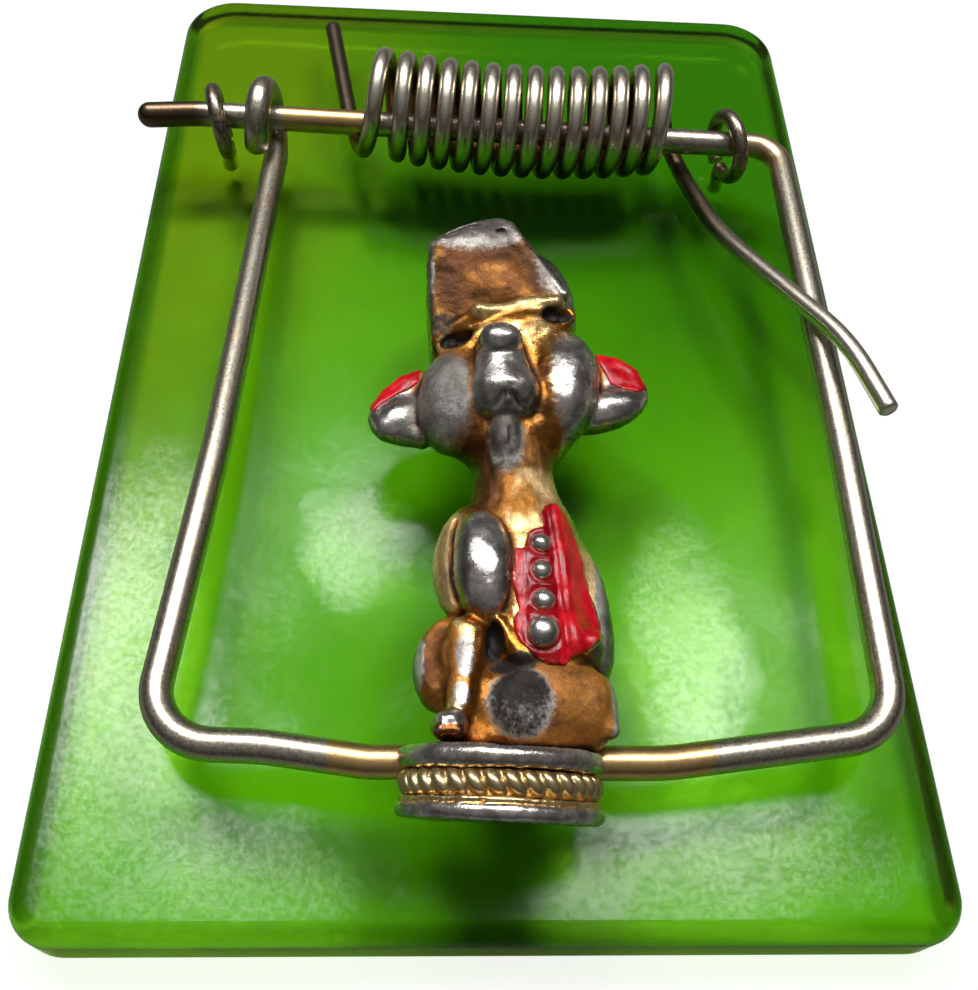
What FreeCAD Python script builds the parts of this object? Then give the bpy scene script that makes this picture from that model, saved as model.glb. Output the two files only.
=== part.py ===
import FreeCAD, Part
import math
import os

Vector = FreeCAD.Vector

# All sizes are in millimetres. The origin is the centre of the block's bottom face,
# +X is to the right, +Y towards the spring's edge and +Z up out of the block.

# Acrylic block
block_width = 51.3
block_length = 78.0
block_height = 4.8
block_front_corner_radius = 2.6
block_back_corner_radius = 4.2
block_edge_radius = 1.2

# Screw eyes, which hold the axle just over the block
eye_wire = 1.15
eye_ring_radius = 2.27
eye_stand_off = 0.05
eye_gap_angle = 22.0
eye_shank_length = 2.7
eye_point_length = 1.1
eye_left_from_edge = 5.25
eye_right_from_edge = 7.0
eye_left_from_back = 19.6
eye_right_from_back = 20.25
eye_left_turn = 13.0
eye_left_lean = 5.0
eye_right_turn = 17.0
eye_right_lean = 0.0

# The bail: one wire bent to axle, arms, front bar and a closing eye round its own axle
bail_wire = 1.85
axle_from_back = 19.9
axle_slant = 1.66
axle_rise_in_eye = 0.4
axle_past_left_eye = 5.2
stub_forward = 0.42
stub_bend_from_eye = 1.9
stub_bend_radius = 6.0
right_arm_from_edge = 3.23
right_bend_radius = 2.2
right_corner_inset = 0.5
left_arm_from_eye = 3.95
left_arm_middle_out = 0.85
left_corner_out = 2.4
arm_middle_from_front = 28.9
front_corner_radius = 3.4
right_corner_rise = 1.75
left_corner_rise = 1.0
bar_behind_plinth_top = 0.64
bar_under_plinth_middle = 1.7
bar_straight_half = 7.0
bar_straight_right = 9.0
bar_left_knee_x = -12.6
bar_left_knee_rise = 0.8
bar_bend_radius = 14.0
arm_bend_radius = 60.0
bail_eye_radius = 2.1
bail_eye_pitch = 1.35
bail_eye_turn = 292.0
bail_eye_lead = 2.0

# Torsion spring, wound loosely round the axle and resting on the block
spring_wire = 1.18
spring_radius = 3.47
spring_pitch = 1.6
spring_from_left_arm = 7.7
spring_from_right_eye = 5.0
spring_left_spread = 1.5
spring_right_spread = 1.25
spring_block_gap = 0.1
spring_back_of_axle = 1.45
spring_bow = 1.35
left_leg_out = 2.7
left_leg_end_inset = 4.6
leg_lead = 2.4
leg_bend_radius = 3.0
right_leg_knee_out = 2.0
right_leg_knee_forward = 9.0
right_leg_knee_rise = 2.4
right_leg_second_knee_out = 0.75
right_leg_second_knee_forward = 22.0
right_leg_end_out = 2.3
right_leg_end_forward = 27.8
leg_arm_gap = 0.2
leg_climb = 0.85
leg_end_rise = 0.15

# Oval plinth of the cast figure, threaded on the bar
plinth_half_width = 5.4
plinth_half_depth = 4.2
plinth_tilt = 14.0
plinth_top_plate = 1.45
plinth_rope_height = 1.25
plinth_bottom_plate = 1.05
plinth_rim_radius = 0.42
plinth_core_inset = 0.95
plinth_block_gap = 0.22
plinth_top_from_front = 9.15
rope_bulge = 0.62

# Clearance where one piece is cut to seat on or round another
seam = 0.03

# The seated figure: centres are across, up from the plinth's top and forward of its
# middle, and the sizes are each rounded form's radius and half height
torso_at, torso_size = (1.7, 9.6, -0.9), (3.65, 6.1)
neck_at, neck_size = (1.0, 15.4, -0.4), (2.45, 3.6)
seat_at, seat_size = (2.3, 2.6, -0.8), (3.8, 3.9)
hollow_at, hollow_radius = (0.9, 2.3, 3.7), 1.95
haunch_at, haunch_size = (-2.7, 4.6, -0.6), (1.95, 3.7)
arm_left_at, arm_left_size = (-1.0, 10.1, 1.0), (2.3, 4.1)
arm_right_at, arm_right_size = (4.8, 8.5, -0.5), (1.6, 4.9)
knee_at, ankle_at, leg_radius = (-1.8, 6.6, 1.1), (-2.5, 0.9, 1.0), 1.0
foot_at, foot_radius = (-2.75, 0.75, 1.4), 1.2
skull_at, skull_size = (1.0, 26.2, 0.2), (4.6, 4.9)
cheek_left_at, cheek_right_at, cheek_size = (-1.9, 21.8, 0.9), (3.9, 23.1, 1.1), (2.95, 3.5)
jaw_at, jaw_size = (1.0, 19.0, 0.2), (2.75, 3.0)
muzzle_at, muzzle_size = (0.6, 21.9, 2.0), (2.5, 4.1)
nose_at, nose_radius = (0.05, 24.5, 4.3), 1.2
ear_left_at, ear_right_at, ear_size = (-5.4, 21.9, -0.4), (7.5, 24.0, 0.5), (2.6, 1.2)
ear_edge_radius = 0.95
ear_enamel_edge_radius = 0.4
ear_enamel_size = (1.8, 0.55)
ear_enamel_shift = (0.35, 0.55, 0.85)
head_turn = 14.0
cap_base_at, cap_base_half = (0.75, 28.3, 0.3), (4.85, 3.9)
cap_top_half = (3.1, 2.6)
cap_height = 6.9
cap_edge_radius = 0.5
cap_band_height = 1.0
cap_band_lip = 0.35
jacket_thickness = 0.35
jacket_left, jacket_right = 0.4, 5.6
jacket_bottom, jacket_top = 4.4, 14.6
jacket_wrap = 1.0
button_radii = (0.5, 0.52, 0.58, 0.7)
button_first_at, button_last_at = (2.4, 11.5), (2.25, 6.0)

# Places and heights that follow from the pieces that carry each other
eye_left_x = eye_left_from_edge - block_width / 2
eye_right_x = block_width / 2 - eye_right_from_edge
eye_left_y = block_length / 2 - eye_left_from_back
eye_right_y = block_length / 2 - eye_right_from_back
axle_y = block_length / 2 - axle_from_back
right_arm_x = block_width / 2 - right_arm_from_edge
left_arm_back_x = eye_left_x + left_arm_from_eye
arm_middle_y = arm_middle_from_front - block_length / 2
eye_center_z = block_height + eye_stand_off + eye_ring_radius + eye_wire / 2
axle_z = eye_center_z + axle_rise_in_eye
spring_z = block_height + spring_block_gap + spring_wire / 2 + spring_radius
spring_left_x = left_arm_back_x + spring_from_left_arm
spring_turns = round((eye_right_x - spring_from_right_eye - spring_left_x) / spring_pitch)
plinth_top_y = plinth_top_from_front - block_length / 2
tilt = math.radians(plinth_tilt)
plinth_height = plinth_top_plate + plinth_rope_height + plinth_bottom_plate
plinth_z = (block_height + plinth_block_gap + plinth_half_depth * math.cos(tilt)
            + plinth_height * math.sin(tilt))
bar_y = plinth_top_y - bar_behind_plinth_top
bar_z = plinth_z - bar_under_plinth_middle
across = Vector(1, 0, 0)
upward = Vector(0, 1, 0)


def box_from(low, high):
    """Solid box between two corners."""
    size = high - low
    return Part.makeBox(size.x, size.y, size.z, low)


def arc_leaving(start, corner, end):
    """Arc from start to end whose two tangents meet at the corner."""
    middle = (start + end) * 0.5
    to_corner = corner - middle
    half_chord = (end - start).Length / 2
    half_turn = math.atan2(to_corner.Length, half_chord)
    rise = half_chord * math.tan(half_turn / 2)
    top = middle + to_corner.normalize() * rise
    return Part.Arc(start, top, end).toShape()


def biarc(start, start_way, end, end_way):
    """Two tangent arcs that join two points along two directions."""
    chord = end - start
    way_sum = start_way + end_way
    spread = 2 * (1 - start_way.dot(end_way))
    along = chord.dot(way_sum)
    reach = (math.sqrt(along * along + spread * chord.dot(chord)) - along) / spread
    first_corner = start + start_way * reach
    last_corner = end - end_way * reach
    joint = (first_corner + last_corner) * 0.5
    return [arc_leaving(start, first_corner, joint), arc_leaving(joint, last_corner, end)]


def bent_line(points, radii):
    """Straight runs through the points, each inner corner rounded to its radius."""
    edges = []
    here = points[0]
    for before, corner, after, radius in zip(points, points[1:], points[2:], radii):
        back = (before - corner).normalize()
        ahead = (after - corner).normalize()
        half_angle = back.getAngle(ahead) / 2
        set_back = radius / math.tan(half_angle)
        start = corner + back * set_back
        end = corner + ahead * set_back
        edges.append(Part.LineSegment(here, start).toShape())
        edges.append(arc_leaving(start, corner, end))
        here = end
    edges.append(Part.LineSegment(here, points[-1]).toShape())
    return edges


def wire_along(edges, diameter):
    """Round wire swept along a path."""
    path = Part.Wire(edges)
    start = path.OrderedVertexes[0].Point
    first = path.OrderedEdges[0]
    at_start = first.FirstParameter
    if first.valueAt(at_start).distanceToPoint(start) > 1e-6:
        at_start = first.LastParameter
    way = first.tangentAt(at_start)
    profile = Part.Wire(Part.makeCircle(diameter / 2, start, way))
    shell = Part.BRepOffsetAPI.MakePipeShell(path)
    shell.add(profile)
    shell.build()
    shell.makeSolid()
    return shell.shape()


def sample(edges, step):
    """Points along a chain of edges, for measuring."""
    points = []
    for edge in edges:
        points.extend(edge.discretize(max(2, int(edge.Length / step))))
    return points


def make_block(shanks):
    """Acrylic block with rounded corners and edges and the two drilled holes."""
    low = Vector(-block_width / 2, -block_length / 2, 0)
    block = box_from(low, Vector(block_width / 2, block_length / 2, block_height))
    upright = [e for e in block.Edges if abs(e.tangentAt(e.FirstParameter).z) > 0.9]
    front = [e for e in upright if e.CenterOfMass.y < 0]
    back = [e for e in upright if e.CenterOfMass.y > 0]
    block = block.makeFillet(block_front_corner_radius, front)
    back = [e for e in block.Edges if any(e.CenterOfMass.distanceToPoint(b.CenterOfMass) < seam for b in back)]
    block = block.makeFillet(block_back_corner_radius, back)
    rims = [e for e in block.Edges if abs(e.tangentAt(e.FirstParameter).z) < 0.1]
    block = block.makeFillet(block_edge_radius, rims)
    return block.cut(shanks)


def eye_foot(x, y, lean):
    """Where the ring ends and the shank begins."""
    shift = eye_ring_radius * math.sin(math.radians(lean))
    return Vector(x + shift, y, eye_center_z - eye_ring_radius)


def make_shank(foot, grow):
    """Pointed shank under an eye's ring; grown, it is the drilled hole."""
    down = Vector(0, 0, -1)
    radius = eye_wire / 2 + grow
    end = Vector(foot.x, foot.y, block_height - eye_shank_length)
    shank = Part.makeCylinder(radius, foot.z - end.z, foot, down)
    return shank.fuse(Part.makeCone(radius, radius / 6, eye_point_length + grow, end, down))


def make_eye(x, y, turn, lean):
    """Screw eye: a nearly closed ring on its shank."""
    ring = Part.makeTorus(eye_ring_radius, eye_wire / 2, Vector(), Vector(1, 0, 0),
                          0, 360, 360 - eye_gap_angle)
    ring.rotate(Vector(), across, 180 + eye_gap_angle)
    ring.rotate(Vector(), Vector(0, 1, 0), -lean)
    ring.rotate(Vector(), Vector(0, 0, 1), turn)
    ring.translate(Vector(x, y, eye_center_z))
    foot = eye_foot(x, y, lean)
    shoulder = Part.makeSphere(eye_wire / 2, foot)
    return ring.fuse([make_shank(foot, 0), shoulder]).removeSplitter()


def axle_point(x, rise=0.0):
    """A point of the axle, which lies slightly askew in the block's plan."""
    return Vector(x, axle_y - x * math.tan(math.radians(axle_slant)), axle_z + rise)


def stub_end():
    """Free end of the axle, bent a little towards the front."""
    return axle_point(eye_left_x - axle_past_left_eye) - upward * stub_forward


def bail_path():
    """The bail's centre line from the axle's free end round to the end of its own eye."""
    eye_bottom = axle_point(left_arm_back_x, -bail_eye_radius)
    lead = bail_eye_pitch / (2 * math.pi * bail_eye_radius)
    middle_z = (axle_z + bar_z) / 2
    left_corner_x = left_arm_back_x - left_corner_out
    right_corner_x = right_arm_x - right_corner_inset
    runs = bent_line([
        stub_end(),
        axle_point(eye_left_x - stub_bend_from_eye),
        axle_point(right_arm_x),
        Vector(right_arm_x, arm_middle_y, middle_z),
        Vector(right_corner_x, bar_y + right_corner_rise, bar_z),
        Vector(bar_straight_right, bar_y, bar_z),
        Vector(-bar_straight_half, bar_y, bar_z),
        Vector(bar_left_knee_x, bar_y + bar_left_knee_rise, bar_z),
        Vector(left_corner_x, bar_y + left_corner_rise, bar_z),
        Vector(left_arm_back_x - left_arm_middle_out, arm_middle_y, middle_z - bail_wire / 3),
        eye_bottom + Vector(lead, -1, 0) * bail_eye_lead,
        eye_bottom,
    ], [stub_bend_radius, right_bend_radius, arm_bend_radius, front_corner_radius, bar_bend_radius,
        bar_bend_radius / 3, bar_bend_radius, front_corner_radius, arm_bend_radius, bar_bend_radius / 2])
    return runs + bail_eye(eye_bottom)


def bail_eye(bottom):
    """The wire's own eye round the axle, as biarcs of a quarter turn or less."""
    steps = 4
    turn = math.radians(bail_eye_turn)

    def place(angle):
        return bottom + Vector(-bail_eye_pitch * angle / (2 * math.pi),
                               bail_eye_radius * math.sin(angle),
                               bail_eye_radius * (1 - math.cos(angle)))

    def way(angle):
        return Vector(-bail_eye_pitch / (2 * math.pi), bail_eye_radius * math.cos(angle),
                      bail_eye_radius * math.sin(angle)).normalize()

    edges = []
    for step in range(steps):
        first = turn * step / steps
        last = turn * (step + 1) / steps
        edges += biarc(place(first), way(first), place(last), way(last))
    return edges


def make_bail():
    """The bent wire, its free end rounded."""
    end = Part.makeSphere(bail_wire / 2, stub_end())
    return wire_along(bail_path(), bail_wire).fuse(end).removeSplitter()


def spring_point(angle):
    """A point of the coil: it starts at the bottom and climbs the front first."""
    turn = angle / (2 * math.pi)
    x = spring_left_x + spring_pitch * turn
    share = 2 * turn / spring_turns - 1
    y = axle_point(x).y + spring_back_of_axle - spring_bow * (1 - share * share)
    x -= spring_left_spread * max(0, 1 - turn) ** 3
    x += spring_right_spread * max(0, turn - spring_turns + 1) ** 3
    return Vector(x, y - spring_radius * math.sin(angle), spring_z - spring_radius * math.cos(angle))


def spring_way(angle):
    """Direction of the coil at an angle."""
    small = 1e-4
    return (spring_point(angle + small) - spring_point(angle - small)).normalize()


def spring_path():
    """Left leg, coil of quarter-turn biarcs, and right leg over the bail's arm."""
    quarters = spring_turns * 4
    coil = []
    for quarter in range(quarters):
        first = quarter * math.pi / 2
        last = first + math.pi / 2
        coil += biarc(spring_point(first), spring_way(first), spring_point(last), spring_way(last))
    start = spring_point(0)
    end_angle = spring_turns * 2 * math.pi
    end = spring_point(end_angle)
    left_leg = bent_line([
        Vector(start.x - left_leg_out, block_length / 2 - left_leg_end_inset, start.z),
        start - spring_way(0) * leg_lead,
        start,
    ], [leg_bend_radius * 2])
    over_arm_z = (axle_z + bar_z) / 2 + (bail_wire + spring_wire) / 2 + leg_arm_gap + leg_climb
    knee = Vector(end.x + right_leg_knee_out, axle_y - right_leg_knee_forward,
                  block_height + right_leg_knee_rise)
    second_knee = Vector(right_arm_x + right_leg_second_knee_out,
                         axle_y - right_leg_second_knee_forward, over_arm_z)
    tip = Vector(right_arm_x + right_leg_end_out, axle_y - right_leg_end_forward, over_arm_z + leg_end_rise)
    right_leg = bent_line([
        end,
        end + spring_way(end_angle) * leg_lead,
        knee,
        second_knee,
        tip,
    ], [leg_bend_radius, leg_bend_radius * 2, leg_bend_radius])
    return left_leg, coil, right_leg


def coil_gap(coil):
    """Least clear gap between neighbouring turns, measured on points of the centre line."""
    points = sample(coil, 0.5)
    per_turn = len(points) / spring_turns
    skip = int(per_turn / 2)
    least = min((a - b).Length for i, a in enumerate(points)
                for b in points[i + skip:i + 2 * int(per_turn)])
    return least - spring_wire


def make_spring():
    """The wound spring as one unbroken wire."""
    left_leg, coil, right_leg = spring_path()
    print("spring: least gap between turns %.2f mm" % coil_gap(coil))
    return wire_along(left_leg + coil + right_leg, spring_wire)


def spheroid(center, radius, half_height, axis):
    """Ellipse turned round its axis, which is Y or Z."""
    tip = axis * half_height
    side = across * radius
    if half_height > radius:
        arc = Part.Ellipse(tip, side, Vector())
        edge = Part.Edge(arc, 0, math.pi)
    else:
        arc = Part.Ellipse(side, tip, Vector())
        edge = Part.Edge(arc, -math.pi / 2, math.pi / 2)
    closing = Part.LineSegment(tip, tip * -1).toShape()
    face = Part.Face(Part.Wire(Part.__sortEdges__([edge, closing])))
    third = 360 / 3
    wedges = []
    for step in range(3):
        wedge = face.revolve(Vector(), axis, third)
        wedge.rotate(Vector(), axis, step * third)
        wedges.append(wedge)
    shape = wedges[0].fuse(wedges[1:])
    shape.translate(center)
    return shape


def figure_place(at):
    """A point of the figure in the object's frame."""
    return Vector(at[0], plinth_top_y + at[1], plinth_z + at[2])


def form(at, size, grow):
    """One rounded upright form of the figure, or the slightly larger one that cuts its neighbours."""
    return spheroid(figure_place(at), size[0] + grow, size[1] + grow, upward)


def pill(at, size, grow):
    """One upright form with round ends and straight sides."""
    radius = size[0] + grow
    reach = upward * (size[1] - size[0])
    center = figure_place(at)
    middle = Part.makeCylinder(radius, 2 * reach.Length, center - reach, upward)
    return middle.fuse([Part.makeSphere(radius, center - reach), Part.makeSphere(radius, center + reach)])


def disc(at, size, edge_radius, grow):
    """One flat disc with rounded edges that faces forward."""
    radius = size[0] + grow
    half = size[1] + grow
    plate = Part.makeCylinder(radius, 2 * half, figure_place(at) - Vector(0, 0, half))
    rims = [e for e in plate.Edges if e.isClosed()]
    return plate.makeFillet(edge_radius, rims)


def tilt_to_plinth(shape):
    """Stand a shape that was made round Z on the plinth's tilted axis."""
    matrix = FreeCAD.Matrix()
    matrix.scale(1, plinth_half_depth / plinth_half_width, 1)
    shape = shape.transformGeometry(matrix)
    shape.rotate(Vector(), across, -(90 - plinth_tilt))
    shape.translate(Vector(0, plinth_top_y, plinth_z))
    return shape


def rounded_plate(profile, radius, bottom, top):
    """Outline edges of a plate's rounded rim, from its bottom up to its top."""
    bend = plinth_rim_radius
    slant = bend * (1 - math.sqrt(0.5))
    side = radius - bend
    profile.append(Part.Arc(Vector(side, 0, bottom), Vector(radius - slant, 0, bottom + slant),
                            Vector(radius, 0, bottom + bend)).toShape())
    profile.append(Part.LineSegment(Vector(radius, 0, bottom + bend), Vector(radius, 0, top - bend)).toShape())
    profile.append(Part.Arc(Vector(radius, 0, top - bend), Vector(radius - slant, 0, top - slant),
                            Vector(side, 0, top)).toShape())


def make_plinth():
    """Spool of two rounded plates and a core, bored for the bar."""
    radius = plinth_half_width
    core = radius - plinth_core_inset
    side = radius - plinth_rim_radius
    low = -plinth_height
    seat_low = low + plinth_bottom_plate
    seat_high = -plinth_top_plate
    edges = [Part.LineSegment(Vector(0, 0, low), Vector(side, 0, low)).toShape()]
    rounded_plate(edges, radius, low, seat_low)
    edges.append(Part.LineSegment(Vector(side, 0, seat_low), Vector(core, 0, seat_low)).toShape())
    edges.append(Part.LineSegment(Vector(core, 0, seat_low), Vector(core, 0, seat_high)).toShape())
    edges.append(Part.LineSegment(Vector(core, 0, seat_high), Vector(side, 0, seat_high)).toShape())
    rounded_plate(edges, radius, seat_high, 0)
    edges.append(Part.LineSegment(Vector(side, 0, 0), Vector(0, 0, 0)).toShape())
    edges.append(Part.LineSegment(Vector(0, 0, 0), Vector(0, 0, low)).toShape())
    face = Part.Face(Part.Wire(edges))
    return tilt_to_plinth(face.revolve(Vector(), Vector(0, 0, 1), 360))


def make_rope_band():
    """Moulding of a half-round section round the plinth's core."""
    core = plinth_half_width - plinth_core_inset + seam
    low = -plinth_height + plinth_bottom_plate + seam
    high = -plinth_top_plate - seam
    crown = Vector(core + rope_bulge, 0, (low + high) / 2)
    edges = [Part.Arc(Vector(core, 0, low), crown, Vector(core, 0, high)).toShape(),
             Part.LineSegment(Vector(core, 0, high), Vector(core, 0, low)).toShape()]
    face = Part.Face(Part.Wire(edges))
    return tilt_to_plinth(face.revolve(Vector(), Vector(0, 0, 1), 360))


def make_bore():
    """Hole for the bar's straight stretch, which the plinth is cast round."""
    length = 2 * bar_straight_half
    return Part.makeCylinder(bail_wire / 2 + seam, length, Vector(-length / 2, bar_y, bar_z), across)


def below_plinth_top():
    """Everything under the plinth's top plane, which the figure's pieces are cut by."""
    size = 4 * plinth_half_width
    block = Part.makeBox(size, size, size, Vector(-size / 2, -size / 2, seam - size))
    block.rotate(Vector(), across, -(90 - plinth_tilt))
    block.translate(Vector(0, plinth_top_y, plinth_z))
    return block


def oval(center, halves, up):
    """Oval wire square to a direction in the XY plane."""
    ellipse = Part.Ellipse(Vector(), halves[0], halves[1])
    wire = Part.Wire(ellipse.toShape())
    wire.rotate(Vector(), across, 90)
    wire.rotate(Vector(), Vector(0, 0, 1), math.degrees(math.atan2(up.y, up.x)) - 90)
    wire.translate(center)
    return wire


def make_cap(grow):
    """Tapered flat-topped cap and the band round its foot."""
    up = Vector(-math.sin(math.radians(head_turn)), math.cos(math.radians(head_turn)), 0)
    base = figure_place(cap_base_at)
    foot_half = [half + grow for half in cap_base_half]
    top_half = [half + grow for half in cap_top_half]
    band_half = [half + cap_band_lip for half in foot_half]
    crown = Part.makeLoft([oval(base, foot_half, up), oval(base + up * cap_height, top_half, up)], True, True)
    rim = [e for e in crown.Edges if e.isClosed() and e.BoundBox.Center.y > base.y + cap_height / 2]
    crown = crown.makeFillet(cap_edge_radius, rim)
    band = Part.makeLoft([oval(base, band_half, up), oval(base + up * cap_band_height, band_half, up)], True, True)
    return crown.fuse(band).removeSplitter()


def make_leg(grow):
    """Lower leg from knee to ankle with the foot on the plinth."""
    knee = figure_place(knee_at)
    ankle = figure_place(ankle_at)
    radius = leg_radius + grow
    shin = Part.makeCylinder(radius, (ankle - knee).Length, knee, ankle - knee)
    return shin.fuse([Part.makeSphere(radius, knee), Part.makeSphere(foot_radius + grow, figure_place(foot_at))])


def make_seat(grow):
    """The mass that the figure sits in, with its round hollow."""
    hollow = Part.makeSphere(hollow_radius - grow, figure_place(hollow_at))
    return form(seat_at, seat_size, grow).cut(hollow)


def make_body(grow):
    """Torso and neck."""
    return form(torso_at, torso_size, grow).fuse(form(neck_at, neck_size, grow))


def make_head(grow):
    """Skull, two full cheeks, jaw and muzzle."""
    others = [(cheek_left_at, cheek_size), (cheek_right_at, cheek_size), (jaw_at, jaw_size),
              (muzzle_at, muzzle_size)]
    return form(skull_at, skull_size, grow).fuse([form(at, size, grow) for at, size in others])


def make_jacket(grow):
    """Thin enamel layer over the front of the torso."""
    front = box_from(figure_place((jacket_left, jacket_bottom, torso_at[2] + jacket_wrap)),
                     figure_place((jacket_right, jacket_top, torso_at[2] + 2 * torso_size[0])))
    return form(torso_at, torso_size, jacket_thickness + grow).common(front)


def torso_front(x, up):
    """How far forward the torso's surface lies at a place on it."""
    level = math.sqrt(1 - ((up - torso_at[1]) / torso_size[1]) ** 2) * torso_size[0]
    return torso_at[2] + math.sqrt(level ** 2 - (x - torso_at[0]) ** 2)


def make_buttons(grow):
    """Row of balls down the front of the jacket."""
    balls = []
    count = len(button_radii)
    for index, radius in enumerate(button_radii):
        share = index / (count - 1)
        x = button_first_at[0] + (button_last_at[0] - button_first_at[0]) * share
        up = button_first_at[1] + (button_last_at[1] - button_first_at[1]) * share
        front = torso_front(x, up) + jacket_thickness
        balls.append(Part.makeSphere(radius + grow, figure_place((x, up, front))))
    return Part.makeCompound(balls)


def make_ear_enamel(grow):
    """Enamel in the upper inner side of each ear."""
    left = [a + b for a, b in zip(ear_left_at, ear_enamel_shift)]
    right = [a + b for a, b in zip(ear_right_at, ear_enamel_shift)]
    right[0] = ear_right_at[0] - ear_enamel_shift[0]
    return Part.makeCompound([disc(at, ear_enamel_size, ear_enamel_edge_radius, grow) for at in (left, right)])


def carved(makers):
    """Make each piece and cut it by the plinth's top and by the slightly grown earlier ones."""
    floor = below_plinth_top()
    made = {}
    cutters = []
    for name, maker in makers.items():
        shape = maker(0).cut(floor)
        for other in cutters:
            if shape.BoundBox.intersect(other.BoundBox):
                shape = shape.cut(other)
        made[name] = largest_solids(shape)
        cutters.append(maker(seam))
    return made


def largest_solids(shape):
    """Drop the crumbs that a cut leaves under a sixth of the largest solid."""
    solids = sorted(shape.Solids, key=lambda solid: -solid.Volume)
    keep = [solid for solid in solids if solid.Volume > solids[0].Volume / 6]
    if len(keep) == 1:
        return keep[0]
    return Part.makeCompound(keep)


def single(shape, at, size):
    """Maker of a piece that is one rounded form or pill."""
    return lambda grow: shape(at, size, grow)


def build():
    """Every piece by its node's name."""
    holes = [make_shank(eye_foot(eye_left_x, eye_left_y, eye_left_lean), seam),
             make_shank(eye_foot(eye_right_x, eye_right_y, eye_right_lean), seam)]
    bore = make_bore()
    pieces = {
        "base_block": make_block(holes),
        "screw_eye_left": make_eye(eye_left_x, eye_left_y, eye_left_turn, eye_left_lean),
        "screw_eye_right": make_eye(eye_right_x, eye_right_y, eye_right_turn, eye_right_lean),
        "torsion_spring": make_spring(),
        "striker_bail": make_bail(),
        "plinth": make_plinth().cut(bore),
        "rope_band": make_rope_band().cut(bore),
    }
    pieces.update(carved({
        "figure_seat": make_seat,
        "figure_body": make_body,
        "figure_head": make_head,
        "arm_left": single(pill, arm_left_at, arm_left_size),
        "arm_right": single(pill, arm_right_at, arm_right_size),
        "haunch_left": single(pill, haunch_at, haunch_size),
        "leg_left": make_leg,
        "figure_cap": make_cap,
        "nose": lambda grow: Part.makeSphere(nose_radius + grow, figure_place(nose_at)),
        "ear_left": lambda grow: disc(ear_left_at, ear_size, ear_edge_radius, grow),
        "ear_right": lambda grow: disc(ear_right_at, ear_size, ear_edge_radius, grow),
        "ear_enamel": make_ear_enamel,
        "jacket_enamel": make_jacket,
        "jacket_buttons": make_buttons,
    }))
    return pieces


os.makedirs("parts", exist_ok=True)
for node, shape in build().items():
    shape.exportStep("parts/%s.step" % node)
    bounds = shape.BoundBox
    print("%-16s solids %d valid %s volume %8.1f z %.2f to %.2f" % (
        node, len(shape.Solids), shape.isValid(), shape.Volume, bounds.ZMin, bounds.ZMax))
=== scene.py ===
import math

import bpy
import numpy as np
from mathutils import Matrix, Vector


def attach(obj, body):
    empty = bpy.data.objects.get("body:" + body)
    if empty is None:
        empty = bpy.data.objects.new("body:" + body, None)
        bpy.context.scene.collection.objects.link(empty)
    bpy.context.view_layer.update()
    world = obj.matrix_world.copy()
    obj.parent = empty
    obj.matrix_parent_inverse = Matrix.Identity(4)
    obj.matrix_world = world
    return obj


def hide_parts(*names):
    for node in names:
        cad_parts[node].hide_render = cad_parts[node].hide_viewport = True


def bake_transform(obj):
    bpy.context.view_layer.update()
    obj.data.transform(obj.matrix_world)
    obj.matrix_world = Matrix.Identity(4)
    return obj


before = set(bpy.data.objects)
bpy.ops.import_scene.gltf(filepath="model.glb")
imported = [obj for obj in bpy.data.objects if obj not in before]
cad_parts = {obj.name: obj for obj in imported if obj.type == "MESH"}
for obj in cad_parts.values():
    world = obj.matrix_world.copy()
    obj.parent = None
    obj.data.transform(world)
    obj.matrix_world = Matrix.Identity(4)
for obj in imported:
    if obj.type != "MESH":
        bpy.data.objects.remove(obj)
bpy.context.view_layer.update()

MM = 0.001

# Where the figure's own coordinates start: across, up from the plinth's top, forward of its middle
FIGURE_Y = -30.05
FIGURE_Z = 10.0
PLINTH_TILT = math.radians(14.0)
PLINTH_TURN = math.radians(-2.3)
BLOCK_TOP = 4.8
BLOCK_HALVES = (25.65, 39.0)
CELL = 0.13
GRID_LOW = np.array([-8.6, -5.4, -5.0])
GRID_HIGH = np.array([10.3, 37.2, 6.0])


# Node helpers

class Nodes:
    """The node tree of a material or of the world."""

    def __init__(self, owner):
        owner.use_nodes = True
        self.tree = owner.node_tree
        self.tree.nodes.clear()

    def node(self, kind, *values, **settings):
        """New node with its settings, its first inputs fed in their order."""
        node = self.tree.nodes.new("ShaderNode" + kind)
        for name, value in settings.items():
            setattr(node, name, value)
        for socket, value in zip(node.inputs, values):
            self.feed(socket, value)
        return node

    def feed(self, socket, value):
        """Join a socket to another one, or give it a number, a vector or a colour."""
        if isinstance(value, bpy.types.NodeSocket):
            self.tree.links.new(value, socket)
        elif socket.type == "RGBA":
            socket.default_value = (*value, 1.0)
        else:
            socket.default_value = value


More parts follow.
